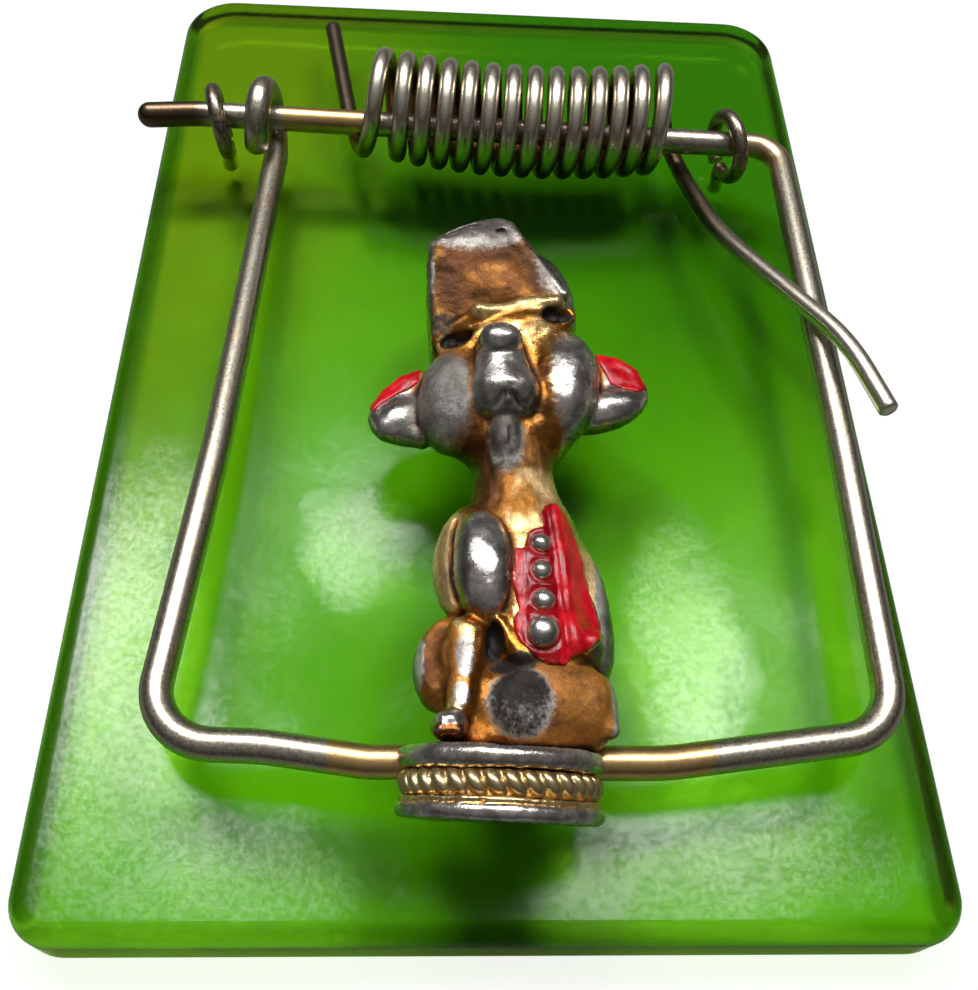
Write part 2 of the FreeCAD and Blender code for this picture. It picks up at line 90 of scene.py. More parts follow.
class Shading(Nodes):
    """A node material with its Principled shader, and short ways to add to it."""

    def __init__(self, name):
        self.material = bpy.data.materials.new(name)
        super().__init__(self.material)
        self.shader = self.node("BsdfPrincipled")
        self.output = self.node("OutputMaterial", self.shader.outputs[0])

    def set(self, name, value):
        """Feed one of the Principled shader's inputs."""
        self.feed(self.shader.inputs[name], value)

    def stretched(self, place, factors):
        """Coordinates scaled along each axis."""
        return self.node("VectorMath", place, factors, operation="MULTIPLY").outputs[0]

    def millimetres(self):
        """The object's own coordinates in millimetres."""
        return self.stretched(self.node("TexCoord").outputs["Object"], (1 / MM, 1 / MM, 1 / MM))

    def axes(self, place):
        """The three coordinates of a place as separate values."""
        return self.node("SeparateXYZ", place).outputs

    def noise(self, place, scale, detail=4.0, roughness=0.6, distortion=0.0):
        """Noise value at a place, with its scale per millimetre."""
        node = self.node("TexNoise", place)
        values = {"Scale": scale, "Detail": detail, "Roughness": roughness, "Distortion": distortion}
        for name, value in values.items():
            node.inputs[name].default_value = value
        return node.outputs[0]

    def step(self, value, low, high, to_low=0.0, to_high=1.0):
        """Smooth step of a value between two limits."""
        return self.node("MapRange", value, low, high, to_low, to_high, interpolation_type="SMOOTHSTEP").outputs[0]

    def band(self, value, start, end, soft):
        """One inside an interval, zero outside it, with soft ends."""
        rise = self.step(value, start - soft, start + soft)
        fall = self.step(value, end - soft, end + soft, 1.0, 0.0)
        return self.math("MULTIPLY", rise, fall)

    def math(self, operation, *values):
        """Arithmetic on sockets or numbers."""
        return self.node("Math", *values, operation=operation).outputs[0]

    def largest(self, first, *others):
        """The largest of several values."""
        for value in others:
            first = self.math("MAXIMUM", first, value)
        return first

    def spread(self, value, amount):
        """A noise value, as an amount about zero."""
        return self.math("MULTIPLY", self.math("SUBTRACT", value, 0.5), amount)

    def mix(self, factor, first, second):
        """Mix of two colours, each a socket or a plain colour."""
        node = self.node("Mix", factor, data_type="RGBA")
        self.feed(node.inputs[6], first)
        self.feed(node.inputs[7], second)
        return node.outputs[2]

    def stained(self, color, *stains):
        """Colour under stains, each with its noise value, two limits, strength and tint."""
        for value, low, high, strength, tint in stains:
            color = self.mix(self.step(value, low, high, 0.0, strength), color, tint)
        return color

    def attribute(self, name):
        """A value kept on the mesh's points."""
        return self.node("Attribute", attribute_name=name).outputs["Fac"]

    def bump(self, height, depth, strength):
        """Relief from a height value; depth is in millimetres."""
        node = self.node("Bump", strength, depth * MM)
        self.feed(node.inputs["Height"], height)
        self.set("Normal", node.outputs[0])

    def surface_for(self, factor, *shaders):
        """Show a mix of two shaders in place of the Principled one."""
        self.feed(self.output.inputs["Surface"], self.node("MixShader", factor, *shaders).outputs[0])


# Materials

def past_rim(s, spread):
    """Distance out past the block's rim, negative inside it."""
    return s.largest(*[s.math("SUBTRACT", s.math("ABSOLUTE", value), half)
                       for value, half in zip(spread, BLOCK_HALVES)])


def oval(s, spread, wander, center, radii):
    """One inside an uneven oval of the block's top, fading to zero outside it."""
    across, along = [s.math("DIVIDE", s.math("SUBTRACT", spread[axis], center[axis]), radii[axis]) for axis in (0, 1)]
    near = s.math("MULTIPLY_ADD", along, along, s.math("MULTIPLY", across, across))
    near = s.math("MULTIPLY_ADD", wander, 0.3, near)
    return s.step(near, 2.8, -0.2)


# Ovals of the block's top with scuffs and a painted sheen, where it reflects most: centre and radii
SCUFF_AND_SHEEN_OVALS = [((-22.0, -26.0), (4.6, 13.0)), ((-8.3, -14.6), (2.7, 3.6)), ((11.9, -20.4), (2.8, 6.5)),
           ((13.0, -34.8), (7.5, 3.2)), ((-16.0, -36.6), (8.5, 3.2)), ((5.0, -36.2), (3.0, 2.4))]


def acrylic_material():
    """Transparent green acrylic with a finely scratched top; it reflects strongly only in scuff patches that also
    place a painted sheen.
    """
    s = Shading("green_acrylic")
    place = s.millimetres()
    spread = s.axes(place)
    cloud = s.noise(place, 0.16, 3.0, 0.6)
    grain = s.noise(place, 2.8, 6.0, 0.8)
    scratch = s.noise(s.stretched(place, (0.4, 5.0, 1.0)), 1.0, 4.0, 0.7, 0.8)
    wander = s.spread(cloud, 16.0)
    depth = s.math("ADD", s.math("MULTIPLY_ADD", spread[0], 0.45, spread[1]), wander)
    side = s.math("ADD", s.math("MULTIPLY_ADD", spread[1], -0.3, spread[0]), wander)
    # The green is darker towards the back and the right, and more olive towards the left.
    green = s.mix(s.step(depth, -14.0, 20.0), (0.24, 0.57, 0.022), (0.085, 0.27, 0.004))
    green = s.mix(s.step(side, -8.0, -28.0), green, (0.27, 0.33, 0.003))
    # Painted shade: the block's dark edges are painted into its tint close to the rim.
    rim = s.step(past_rim(s, spread), -1.5, -0.6)
    green = s.mix(rim, green, (0.07, 0.19, 0.003))
    s.set("Base Color", green)
    s.set("Transmission Weight", 1.0)
    s.set("IOR", 1.49)
    scuff_and_sheen = s.largest(s.step(cloud, 0.45, 0.75, 0.1, 0.34),
                        *[oval(s, spread, wander, center, radii) for center, radii in SCUFF_AND_SHEEN_OVALS])
    # Scuff wear and painted sheen: the top reflects only where this is high.
    worn = s.math("MULTIPLY", scuff_and_sheen, s.step(grain, 0.43, 0.58, 0.45, 1.15))
    s.set("Roughness", s.step(worn, 0.0, 1.0, 0.15, 0.24))
    s.set("Specular Tint", s.mix(worn, (0, 0, 0), (1, 1, 1)))
    relief = s.math("ADD", grain, s.math("MULTIPLY", scratch, 0.5))
    s.bump(relief, 0.010, 0.5)
    clear = s.node("BsdfTransparent", (0.62, 0.86, 0.28))
    path = s.node("LightPath").outputs
    unseen = s.largest(path["Is Shadow Ray"], path["Is Diffuse Ray"])
    s.surface_for(unseen, s.shader.outputs[0], clear.outputs[0])
    return s.material


def nickel_material(name, dark_steel, light_steel):
    """Plated wire: drawn grey metal with the remains of a gold wash."""
    s = Shading(name)
    place = s.millimetres()
    spread = s.axes(place)
    patch = s.noise(place, 0.5, 3.0, 0.6)
    fine = s.noise(place, 6.0, 4.0, 0.7)
    wobble = s.spread(patch, 1.2)
    x = s.math("ADD", spread[0], wobble)
    front = s.step(spread[1], -27.5, -29.0)
    back = s.step(spread[1], 17.5, 18.5)
    bar_left = s.math("MULTIPLY", s.band(x, -9.1, -4.5, 0.12), front)
    bar_right = s.math("MULTIPLY", s.band(x, 4.5, 11.4, 0.12), front)
    axle = s.math("MULTIPLY", s.band(x, -15.6, -9.6, 0.25), back)
    bend = s.math("MULTIPLY", s.band(x, 19.5, 24.5, 0.8), s.step(spread[1], 14.0, 18.0, 0, 0.6))
    gold = s.largest(bar_left, bar_right, axle, bend, s.step(patch, 0.52, 0.72, 0.0, 0.35))
    steel = s.mix(s.step(fine, 0.35, 0.65), dark_steel, light_steel)
    end = s.math("MULTIPLY", s.step(x, -20.5, -22.5), back)
    steel = s.mix(end, steel, (0.14, 0.095, 0.06))
    wash = s.mix(patch, (0.62, 0.36, 0.13), (0.92, 0.66, 0.32))
    s.set("Base Color", s.mix(gold, steel, wash))
    s.set("Metallic", 1.0)
    s.set("Roughness", s.step(fine, 0.25, 0.75, 0.26, 0.4))
    s.bump(fine, 0.003, 0.4)
    return s.material


def spring_material():
    """Bright spring wire, brown on the inner side of its turns as tarnish and painted shade, and darker low down as
    painted shade.
    """
    s = Shading("spring_wire")
    place = s.millimetres()
    fine = s.noise(place, 5.0, 4.0, 0.7)
    patch = s.noise(place, 0.8, 3.0, 0.6)
    inner = s.attribute("inner")
    rust_and_shade = s.math("MULTIPLY", inner, s.step(patch, 0.2, 0.6, 0.55, 1.0))
    steel = s.mix(fine, (0.7, 0.63, 0.5), (0.9, 0.84, 0.71))
    color = s.mix(rust_and_shade, steel, (0.34, 0.14, 0.035))
    # Painted shade: the coil darkens towards its bottom.
    low = s.step(s.axes(place)[2], 10.5, 6.5, 0.0, 0.85)
    s.set("Base Color", s.mix(low, color, (0.13, 0.08, 0.04)))
    s.set("Metallic", 1.0)
    s.set("Roughness", s.step(fine, 0.25, 0.75, 0.26, 0.38))
    s.bump(fine, 0.0015, 0.3)
    return s.material


def casting_material():
    """Antique gilding over grey metal: rubbed grey on high points, dark in the creases with dirt and painted shade.
    """
    s = Shading("gilt_pewter")
    place = s.millimetres()
    cloud = s.noise(place, 0.7, 5.0, 0.65)
    stain = s.noise(place, 1.6, 5.0, 0.7, 0.6)
    fine = s.noise(place, 3.5, 6.0, 0.72)
    speck = s.noise(place, 6.5, 4.0, 0.65)
    scratch = s.noise(s.stretched(place, (5.0, 1.2, 2.0)), 1.6, 5.0, 0.75, 1.2)
    jitter = s.spread(fine, 1.3)
    rubbed = s.step(s.math("ADD", s.attribute("grey"), jitter), 0.25, 0.72)
    # Dirt and painted shade darken the creases, the recesses and the seat's dish.
    dark = s.step(s.math("ADD", s.attribute("grime_and_shade"), jitter), 0.32, 0.92)
    amber = s.math("ADD", s.attribute("amber"), s.spread(cloud, 2.0))
    gold = s.mix(s.step(amber, 0.05, 0.65), (0.9, 0.62, 0.28), (0.5, 0.2, 0.03))
    gold = s.mix(s.step(amber, 0.75, 1.6), gold, (0.13, 0.038, 0.008))
    gold = s.stained(gold, (scratch, 0.5, 0.66, 0.65, (0.22, 0.1, 0.025)),
                     (stain, 0.52, 0.72, 0.7, (0.2, 0.09, 0.025)), (speck, 0.6, 0.74, 0.6, (0.09, 0.04, 0.015)))
    pewter = s.mix(s.step(cloud, 0.36, 0.62), (0.31, 0.295, 0.275), (0.62, 0.6, 0.565))
    pewter = s.stained(pewter, (stain, 0.5, 0.72, 0.65, (0.2, 0.15, 0.1)),
                       (speck, 0.58, 0.72, 0.6, (0.07, 0.06, 0.05)))
    color = s.mix(rubbed, gold, pewter)
    color = s.mix(s.attribute("shade"), color, (0.035, 0.022, 0.012))
    s.set("Base Color", s.mix(dark, color, (0.020, 0.016, 0.013)))
    dull = s.largest(s.attribute("matt"), dark)
    s.set("Metallic", s.step(dull, 0.0, 1.0, 0.9, 0.45))
    s.set("Roughness", s.math("ADD", s.step(stain, 0.3, 0.75, 0.16, 0.34), s.math("MULTIPLY", dull, 0.3)))
    relief = s.math("MULTIPLY_ADD", speck, 0.45, fine)
    relief = s.math("MULTIPLY_ADD", scratch, 0.5, relief)
    s.bump(relief, 0.07, s.step(dull, 0.0, 0.6, 0.25, 0.8))
    return s.material


def enamel_material():
    """Glossy red enamel, thin where it lies in the grooves, and dark there and along the button column with dirt and
    painted shade.
    """
    s = Shading("red_enamel")
    place = s.millimetres()
    cloud = s.noise(place, 1.1, 4.0, 0.6)
    fine = s.noise(place, 6.0, 4.0, 0.7)
    # Dirt and painted shade darken the red in the grooves and along the button column.
    low = s.attribute("grime_and_shade")
    red = s.mix(s.step(cloud, 0.35, 0.65), (0.36, 0.002, 0.006), (0.66, 0.006, 0.018))
    red = s.mix(s.step(low, 0.2, 0.8), red, (0.13, 0.0, 0.002))
    bare = s.step(s.math("ADD", s.attribute("worn"), s.spread(fine, 1.1)), 0.52, 0.6)
    s.set("Base Color", s.mix(bare, red, (0.8, 0.5, 0.2)))
    s.set("Metallic", bare)
    s.set("Roughness", s.step(fine, 0.3, 0.8, 0.12, 0.3))
    s.set("Specular IOR Level", 0.35)
    s.set("Coat Weight", 0.12)
    s.set("Coat Roughness", 0.12)
    s.bump(s.math("ADD", cloud, fine), 0.04, 0.5)
    return s.material


# Mesh helpers

def mesh_object(name, points, faces, material, values=None):
    """Smooth-shaded object from points in millimetres, with named values on its points."""
    mesh = bpy.data.meshes.new(name)
    points = np.asarray(points, dtype=np.float32) * MM
    faces = np.asarray(faces, dtype=np.int32)
    sides = faces.shape[1]
    mesh.vertices.add(len(points))
    mesh.vertices.foreach_set("co", points.ravel())
    mesh.loops.add(faces.size)
    mesh.loops.foreach_set("vertex_index", faces.ravel())
    mesh.polygons.add(len(faces))
    mesh.polygons.foreach_set("loop_start", np.arange(0, faces.size, sides, dtype=np.int32))
    mesh.polygons.foreach_set("use_smooth", np.ones(len(faces), dtype=bool))
    mesh.update(calc_edges=True)
    mesh.validate()
    for key, data in (values or {}).items():
        layer = mesh.attributes.new(key, "FLOAT", "POINT")
        layer.data.foreach_set("value", np.asarray(data, dtype=np.float32))
    mesh.materials.append(material)
    made = bpy.data.objects.new(name, mesh)
    bpy.context.scene.collection.objects.link(made)
    return made


def corner_shares(part):
    """The corners of a grid cell, each with its share at places inside the cell."""
    for corner in np.ndindex(2, 2, 2):
        share = np.ones(len(part))
        for axis in range(3):
            share = share * (part[:, axis] if corner[axis] else 1 - part[:, axis])
        yield corner, share


def lattice_noise(points, size, seed):
    """Smooth noise between -1 and 1 from random values on a cubic lattice."""
    span = 48
    table = np.random.default_rng(seed).uniform(-1, 1, (span, span, span)).astype(np.float32)
    scaled = points / size
    base = np.floor(scaled).astype(int)
    part = scaled - base
    part = part * part * (3 - 2 * part)
    total = np.zeros(len(points), dtype=np.float32)
    for corner, share in corner_shares(part):
        total += share * table[tuple(((base + corner) % span).T)]
    return total


def ramp(value, low, high):
    """Smooth step on arrays."""
    share = np.clip((value - low) / (high - low), 0, 1)
    return share * share * (3 - 2 * share)


# Distance forms, all in the figure's coordinates

def rotated(first, second, angle):
    """Two coordinates measured along directions that are turned by an angle."""
    return (first * math.cos(angle) + second * math.sin(angle),
            second * math.cos(angle) - first * math.sin(angle))


def rounded(flat, high, edge):
    """Distance to a form with rounded edges, from the distances to its outline and to its ends."""
    flat = flat + edge
    high = high + edge
    return np.hypot(np.maximum(flat, 0), np.maximum(high, 0)) + np.minimum(np.maximum(flat, high), 0) - edge


def oval_distance(local, radii):
    """Distance to an ellipse or an ellipsoid about the middle."""
    near = np.linalg.norm(local / radii, axis=-1)
    slope = np.linalg.norm(local / radii ** 2, axis=-1)
    return near * (near - 1) / np.maximum(slope, 1e-6)


def egg(center, radii, degrees=0.0):
    """Ellipsoid."""
    center = np.asarray(center)
    radii = np.asarray(radii)

    def distance(points):
        across, up, forward = np.moveaxis(points - center, -1, 0)
        local = np.stack([*rotated(across, up, math.radians(degrees)), forward], axis=-1)
        return oval_distance(local, radii)
    return distance, center, float(max(radii))


def limb(start, end, start_radius, end_radius):
    """Tapered rod with round ends."""
    start = np.asarray(start, dtype=float)
    end = np.asarray(end, dtype=float)
    way = end - start
    reach = np.linalg.norm(way) / 2 + max(start_radius, end_radius)

    def distance(points):
        local = points - start
        share = np.clip(local @ way / (way @ way), 0, 1)
        gap = np.linalg.norm(local - share[..., None] * way, axis=-1)
        return gap - (start_radius + (end_radius - start_radius) * share)
    return distance, (start + end) / 2, reach


def outline_distance(x, y, corners):
    """Signed distance to a closed outline, negative inside."""
    corners = np.asarray(corners, dtype=float)
    nearest = np.full(x.shape, 1e9)
    sign = np.ones(x.shape)
    for first, last in zip(corners, np.roll(corners, 1, axis=0)):
        edge = last - first
        dx = x - first[0]
        dy = y - first[1]
        share = np.clip((dx * edge[0] + dy * edge[1]) / (edge @ edge), 0, 1)
        nearest = np.minimum(nearest, (dx - share * edge[0]) ** 2 + (dy - share * edge[1]) ** 2)
        above = y >= first[1]
        below = y < last[1]
        left = edge[0] * dy > edge[1] * dx
        flip = (above & below & left) | (~above & ~below & ~left)
        sign = np.where(flip, -sign, sign)
    return sign * np.sqrt(nearest)


def slab(corners, back, front, edge):
    """Outline given thickness between two depths, with rounded edges."""
    corners = np.asarray(corners, dtype=float)
    center = np.append(corners.mean(axis=0), (back + front) / 2)
    reach = np.abs(corners - corners.mean(axis=0)).max() + (front - back)

    def distance(points):
        flat = outline_distance(points[..., 0], points[..., 1], corners)
        return rounded(flat, np.abs(points[..., 2] - (back + front) / 2) - (front - back) / 2, edge)
    return distance, center, reach


def in_plinth(points):
    """Places along the plinth's own width, height and depth, which lean with it."""
    x, up = rotated(points[..., 0], points[..., 1], PLINTH_TURN)
    return x, *rotated(up, points[..., 2], PLINTH_TILT)


def from_plinth(x, level, depth):
    """A place in the figure's coordinates from one along the plinth's own directions."""
    up, forward = rotated(level, depth, -PLINTH_TILT)
    return *rotated(x, up, -PLINTH_TURN), forward


def plate(top, bottom, halves, edge):
    """Oval plate of the plinth between two levels on its tilted axis."""
    center = np.array([0.0, (top + bottom) / 2, 0.0])

    def distance(points):
        x, level, depth = in_plinth(points)
        flat = oval_distance(np.stack([x, depth], axis=-1), np.array(halves))
        return rounded(flat, np.abs(level - center[1]) - (top - bottom) / 2, edge)
    return distance, center, max(halves) + 1.5


def grid_points(lines, cut):
    """The points of a part of the grid."""
    return np.stack(np.meshgrid(*[line[part] for line, part in zip(lines, cut)], indexing="ij"), axis=-1)


class Clay:
    """Distances on a grid, for forms to be joined and cut away."""

    def __init__(self):
        counts = np.ceil((GRID_HIGH - GRID_LOW) / CELL).astype(int) + 1
        self.lines = [low + CELL * np.arange(count) for low, count in zip(GRID_LOW, counts)]
        self.field = np.full(counts, 3.0, dtype=np.float32)

    def near(self, form):
        """The part of the grid round a form, and its points."""
        _, center, reach = form
        reach = reach + 1.0
        cut = []
        for line, middle in zip(self.lines, center):
            low, high = np.searchsorted(line, (middle - reach, middle + reach))
            cut.append(slice(low, max(high, low + 1)))
        return tuple(cut), grid_points(self.lines, cut)

    def front(self, x, up):
        """Depth of the foremost surface at a place."""
        column = tuple(np.searchsorted(line, value) for line, value in zip(self.lines, (x, up)))
        inside = np.nonzero(self.field[column] < 0)[0]
        return self.lines[2][inside[-1]]

    def groove(self, places, width, depth):
        """Round-bottomed groove along places on the front, of a half width and depth."""
        radius = (width ** 2 + depth ** 2) / (2 * depth)
        lift = radius - depth
        points = [(x, up, self.front(x, up) + lift) for x, up in places]
        for start, end in zip(points, points[1:]):
            self.carve(limb(start, end, radius, radius), 0.06)

    def mould(self, form, soft, sign):
        """Add a form where the sign is 1, or take it away where it is -1, blended over a soft width."""
        cut, points = self.near(form)
        other = sign * form[0](points)
        here = self.field[cut]
        share = np.clip(0.5 + sign * 0.5 * (here - other) / soft, 0, 1)
        self.field[cut] = here + (other - here) * share - sign * soft * share * (1 - share)

    def join(self, form, soft):
        """Add a form."""
        self.mould(form, soft, 1)

    def carve(self, form, soft):
        """Take a form away."""
        self.mould(form, soft, -1)


def cell_points(field, cells):
    """The middle of the surface's crossings with each cell's edges, counted in cells."""
    total = np.zeros((len(cells), 3))
    count = np.zeros(len(cells))
    for axis in range(3):
        others = [other for other in range(3) if other != axis]
        for offset in np.ndindex(2, 2):
            start = cells.copy()
            start[:, others] += offset
            end = start.copy()
            end[:, axis] += 1
            first = field[tuple(start.T)]
            last = field[tuple(end.T)]
            crossed = (first < 0) != (last < 0)
            share = np.where(crossed, first / np.where(crossed, first - last, 1), 0)
            spot = start.astype(float)
            spot[:, axis] += share
            total += spot * crossed[:, None]
            count += crossed
    return total / count[:, None]


def cell_faces(inside, numbers, axis):
    """Quads between the four cells round each grid edge along an axis that the surface crosses."""
    others = [other for other in range(3) if other != axis]
    spots = np.argwhere(np.diff(inside, axis=axis))
    limits = np.array(numbers.shape)[others]
    spots = spots[((spots[:, others] > 0) & (spots[:, others] < limits)).all(axis=1)]
    ring = []
    for back in ((1, 1), (0, 1), (0, 0), (1, 0)):
        cell = spots.copy()
        cell[:, others] -= back
        ring.append(numbers[tuple(cell.T)])
    quads = np.stack(ring, axis=1)
    turned_round = inside[tuple(spots.T)] == (axis == 1)
    quads[turned_round] = quads[turned_round][:, ::-1]
    return quads


def surface(field):
    """Mesh of a distance field's zero surface, with one point in each cell that it crosses."""
    inside = field < 0
    shape = np.array(field.shape) - 1
    filled = np.zeros(shape, dtype=np.int8)
    for corner in np.ndindex(2, 2, 2):
        filled += inside[tuple(slice(first, first + count) for first, count in zip(corner, shape))]
    active = (filled > 0) & (filled < 8)
    cells = np.argwhere(active)
    numbers = np.full(shape, -1, dtype=np.int64)
    numbers[active] = np.arange(len(cells))
    points = GRID_LOW + CELL * cell_points(field, cells)
    return points, np.concatenate([cell_faces(inside, numbers, axis) for axis in range(3)])


def blurred(field, times):
    """Field averaged with its neighbours a number of times."""
    for _ in range(times):
        for axis in range(3):
            ahead = np.roll(field, -1, axis)
            behind = np.roll(field, 1, axis)
            field = (ahead + behind + 2 * field) / 4
    return field


def sampled(field, points):
    """Values of a grid field at points."""
    scaled = np.clip((points - GRID_LOW) / CELL, 0, np.array(field.shape) - 1.001)
    base = scaled.astype(int)
    part = scaled - base
    total = np.zeros(len(points))
    for corner, share in corner_shares(part):
        total += share * field[tuple((base + corner).T)]
    return total


def gradients(field, points):
    """Outward directions at points."""
    ways = np.stack([sampled(field, points + shift) - sampled(field, points - shift)
                     for shift in CELL * np.eye(3)], axis=1)
    return ways / np.maximum(np.linalg.norm(ways, axis=1), 1e-9)[:, None]


def skin(field, rounds, casting):
    """Mesh of a field, with how far its points stand out and the casting's outward directions."""
    points, faces = surface(field)
    bulge = sampled(blurred(field, rounds), points) - sampled(field, points)
    return points, faces, bulge, gradients(blurred(casting, 2), points)


def spots(points, places):
    """Painted patches: each is a centre, radii and strength, fading at its rim."""
    total = np.zeros(len(points))
    for center, radii, strength in places:
        near = np.linalg.norm((points - np.asarray(center)) / np.asarray(radii), axis=1)
        total = np.maximum(total, strength * ramp(near, 1.4, 0.6))
    return total


def placed(points):
    """Figure coordinates to the object's."""
    return np.stack([points[:, 0], FIGURE_Y + points[:, 1], FIGURE_Z + points[:, 2]], axis=1)


# The cast figure

CAP_OUTLINE = [
    (-4.0, 25.4), (-4.3, 28.8), (-4.45, 31.8), (-4.25, 33.8), (-3.8, 34.45), (-1.6, 35.7), (0.3, 36.35),
    (0.95, 36.2), (1.9, 34.5), (3.0, 32.5), (4.25, 30.3), (4.75, 29.2), (4.3, 28.1), (-0.8, 26.6)]
JACKET_OUTLINE = [
    (2.6, 13.35), (3.2, 13.45), (3.9, 12.75), (4.25, 11.6), (4.65, 10.1), (4.9, 8.8), (5.3, 7.4), (5.6, 5.7),
    (5.2, 4.95), (4.5, 4.3), (3.6, 4.0), (3.3, 3.5), (2.5, 3.5), (1.65, 3.9), (0.9, 4.7), (0.5, 5.45), (0.6, 6.1),
    (0.95, 6.7), (0.65, 7.35), (0.55, 7.95), (0.7, 10.15), (1.3, 10.2), (1.5, 11.3), (2.35, 11.75), (2.25, 12.6)]
EAR_LEFT = [
    (-3.4, 24.0), (-4.7, 24.4), (-6.0, 23.75), (-7.1, 22.65), (-7.75, 21.5), (-7.9, 20.7), (-7.6, 19.95),
    (-7.0, 19.4), (-5.8, 19.0), (-4.4, 18.75), (-3.2, 19.6)]
EAR_RIGHT = [
    (5.0, 25.4), (6.8, 25.8), (8.2, 25.4), (9.2, 24.5), (9.7, 23.15), (9.65, 22.35), (9.3, 21.7), (8.5, 21.0),
    (7.4, 20.4), (6.5, 20.1), (5.0, 19.9), (4.4, 22.0)]
EAR_OUTLINES = [
    [(-4.7, 24.3), (-6.0, 23.65), (-7.1, 22.5), (-7.75, 21.3), (-7.6, 20.7), (-6.9, 21.35), (-6.0, 22.15),
     (-5.2, 22.6), (-4.7, 23.2)],
    [(6.35, 25.75), (8.15, 25.3), (9.1, 24.4), (9.65, 23.0), (9.0, 22.5), (8.0, 22.7), (7.2, 23.1), (6.7, 24.2)]]
BUTTONS = [((2.19, 10.5), 0.6), ((2.19, 8.85), 0.6), ((2.23, 7.1), 0.68), ((2.12, 5.15), 0.88)]
EYES = [((-2.53, 25.3), 17), ((3.88, 27.2), 22)]
BROW = ((-0.85, 27.1, 2.55), (3.8, 28.3, 2.2))
DISH = (0.86, 1.55)
CAP_PITS = [(0.3, 34.7), (0.6, 34.85)]


def model_body(clay):
    """Neck, torso, arms, seat, leg and foot."""
    clay.join(limb((1.05, 17.6, -0.3), (1.15, 13.2, -0.8), 2.15, 2.9), 0.5)
    clay.join(egg((1.6, 9.4, -0.9), (3.75, 6.2, 3.45)), 1.2)
    clay.join(egg((2.3, 5.2, -0.1), (2.9, 2.6, 2.7)), 0.8)
    clay.join(egg((4.6, 8.2, -1.0), (1.8, 5.0, 1.9), 8), 0.35)
    clay.join(egg((4.75, 5.0, 0.6), (0.75, 0.85, 1.5), 25), 0.3)
    clay.join(egg((-1.5, 10.3, 0.3), (2.25, 3.7, 2.3), -4), 0.35)
    clay.join(egg((-0.95, 9.6, 1.5), (1.85, 3.45, 1.85), 3), 0.1)
    clay.join(egg((2.2, 2.1, -0.7), (3.75, 3.3, 3.2)), 0.25)
    clay.join(egg((-1.2, 2.4, -0.6), (2.0, 2.9, 2.3)), 0.4)
    clay.join(egg((4.55, 1.9, 0.2), (1.5, 2.1, 1.9), 5), 0.5)
    clay.join(limb((5.5, 3.1, 0.4), (5.55, 0.45, 1.0), 0.45, 0.5), 0.4)
    clay.join(egg((-2.95, 4.5, -0.3), (1.75, 2.7, 2.0), -8), 0.3)
    clay.join(limb((-0.2, 6.0, 1.6), (1.1, 4.1, 1.9), 0.6, 0.55), 0.3)
    clay.carve(egg((*DISH, 4.05), (2.0, 2.15, 2.0)), 0.5)
    clay.join(limb((-1.85, 5.5, 1.2), (-2.2, 1.5, 1.4), 1.18, 0.8), 0.3)
    clay.join(egg((-2.75, 0.4, 1.6), (1.0, 0.75, 1.35)), 0.25)
    for x in (-3.15, -2.4):
        clay.join(egg((x, -0.2, 2.45), (0.42, 0.35, 0.45)), 0.3)
    clay.carve(egg((-0.4, 5.2, 2.3), (0.45, 0.95, 1.3), 10), 0.2)
    clay.groove([(-2.55, 12.4), (-2.8, 10.2), (-2.5, 7.4)], 0.18, 0.12)
    clay.groove([(-3.3, 6.3), (-4.0, 4.6), (-3.7, 2.8)], 0.4, 0.12)


def model_head(clay):
    """Skull, cheeks, snout, brow, eyes and mouth."""
    clay.join(egg((0.95, 25.4, -0.7), (4.9, 5.4, 3.3), -8), 0.6)
    clay.join(egg((1.0, 19.5, -0.4), (3.5, 2.9, 2.6)), 0.6)
    clay.join(egg((-2.5, 21.5, 0.5), (2.35, 3.65, 2.5), -5), 0.9)
    clay.join(egg((4.1, 22.6, 0.7), (2.35, 4.0, 2.5), -8), 0.9)
    clay.join(egg((1.0, 26.2, 1.0), (3.9, 1.6, 2.0), 21), 0.6)
    clay.join(limb((0.12, 23.8, 2.55), (0.4, 21.4, 1.9), 1.5, 2.1), 0.3)
    clay.join(egg((0.45, 20.9, 2.15), (2.1, 1.75, 1.7)), 0.5)
    clay.join(egg((0.45, 18.8, 1.3), (1.0, 2.0, 1.35)), 0.3)
    clay.join(egg((0.12, 23.95, 3.55), (1.38, 1.2, 1.2)), 0.06)
    clay.join(limb((-3.7, 25.9, 1.2), (-0.85, 27.1, 2.4), 0.42, 0.6), 0.4)
    clay.join(limb(*BROW, 0.66, 0.58), 0.5)
    for (x, up), lean in EYES:
        level = clay.front(x, up)
        clay.join(egg((x, up, level - 0.3), (1.35, 0.85, 0.5), lean), 0.35)
        clay.carve(egg((x, up, level + 0.35), (1.1, 0.58, 0.95), lean), 0.1)
        clay.join(egg((x - 0.2, up - 0.05, level - 0.45), (0.42, 0.34, 0.4)), 0.1)
    clay.groove([(0.3, 20.0), (-0.3, 19.35)], 0.2, 0.18)
    clay.groove([(0.8, 20.0), (1.3, 19.5)], 0.2, 0.18)
    clay.groove([(0.75, 19.4), (0.7, 18.2), (0.8, 17.4)], 0.1, 0.03)


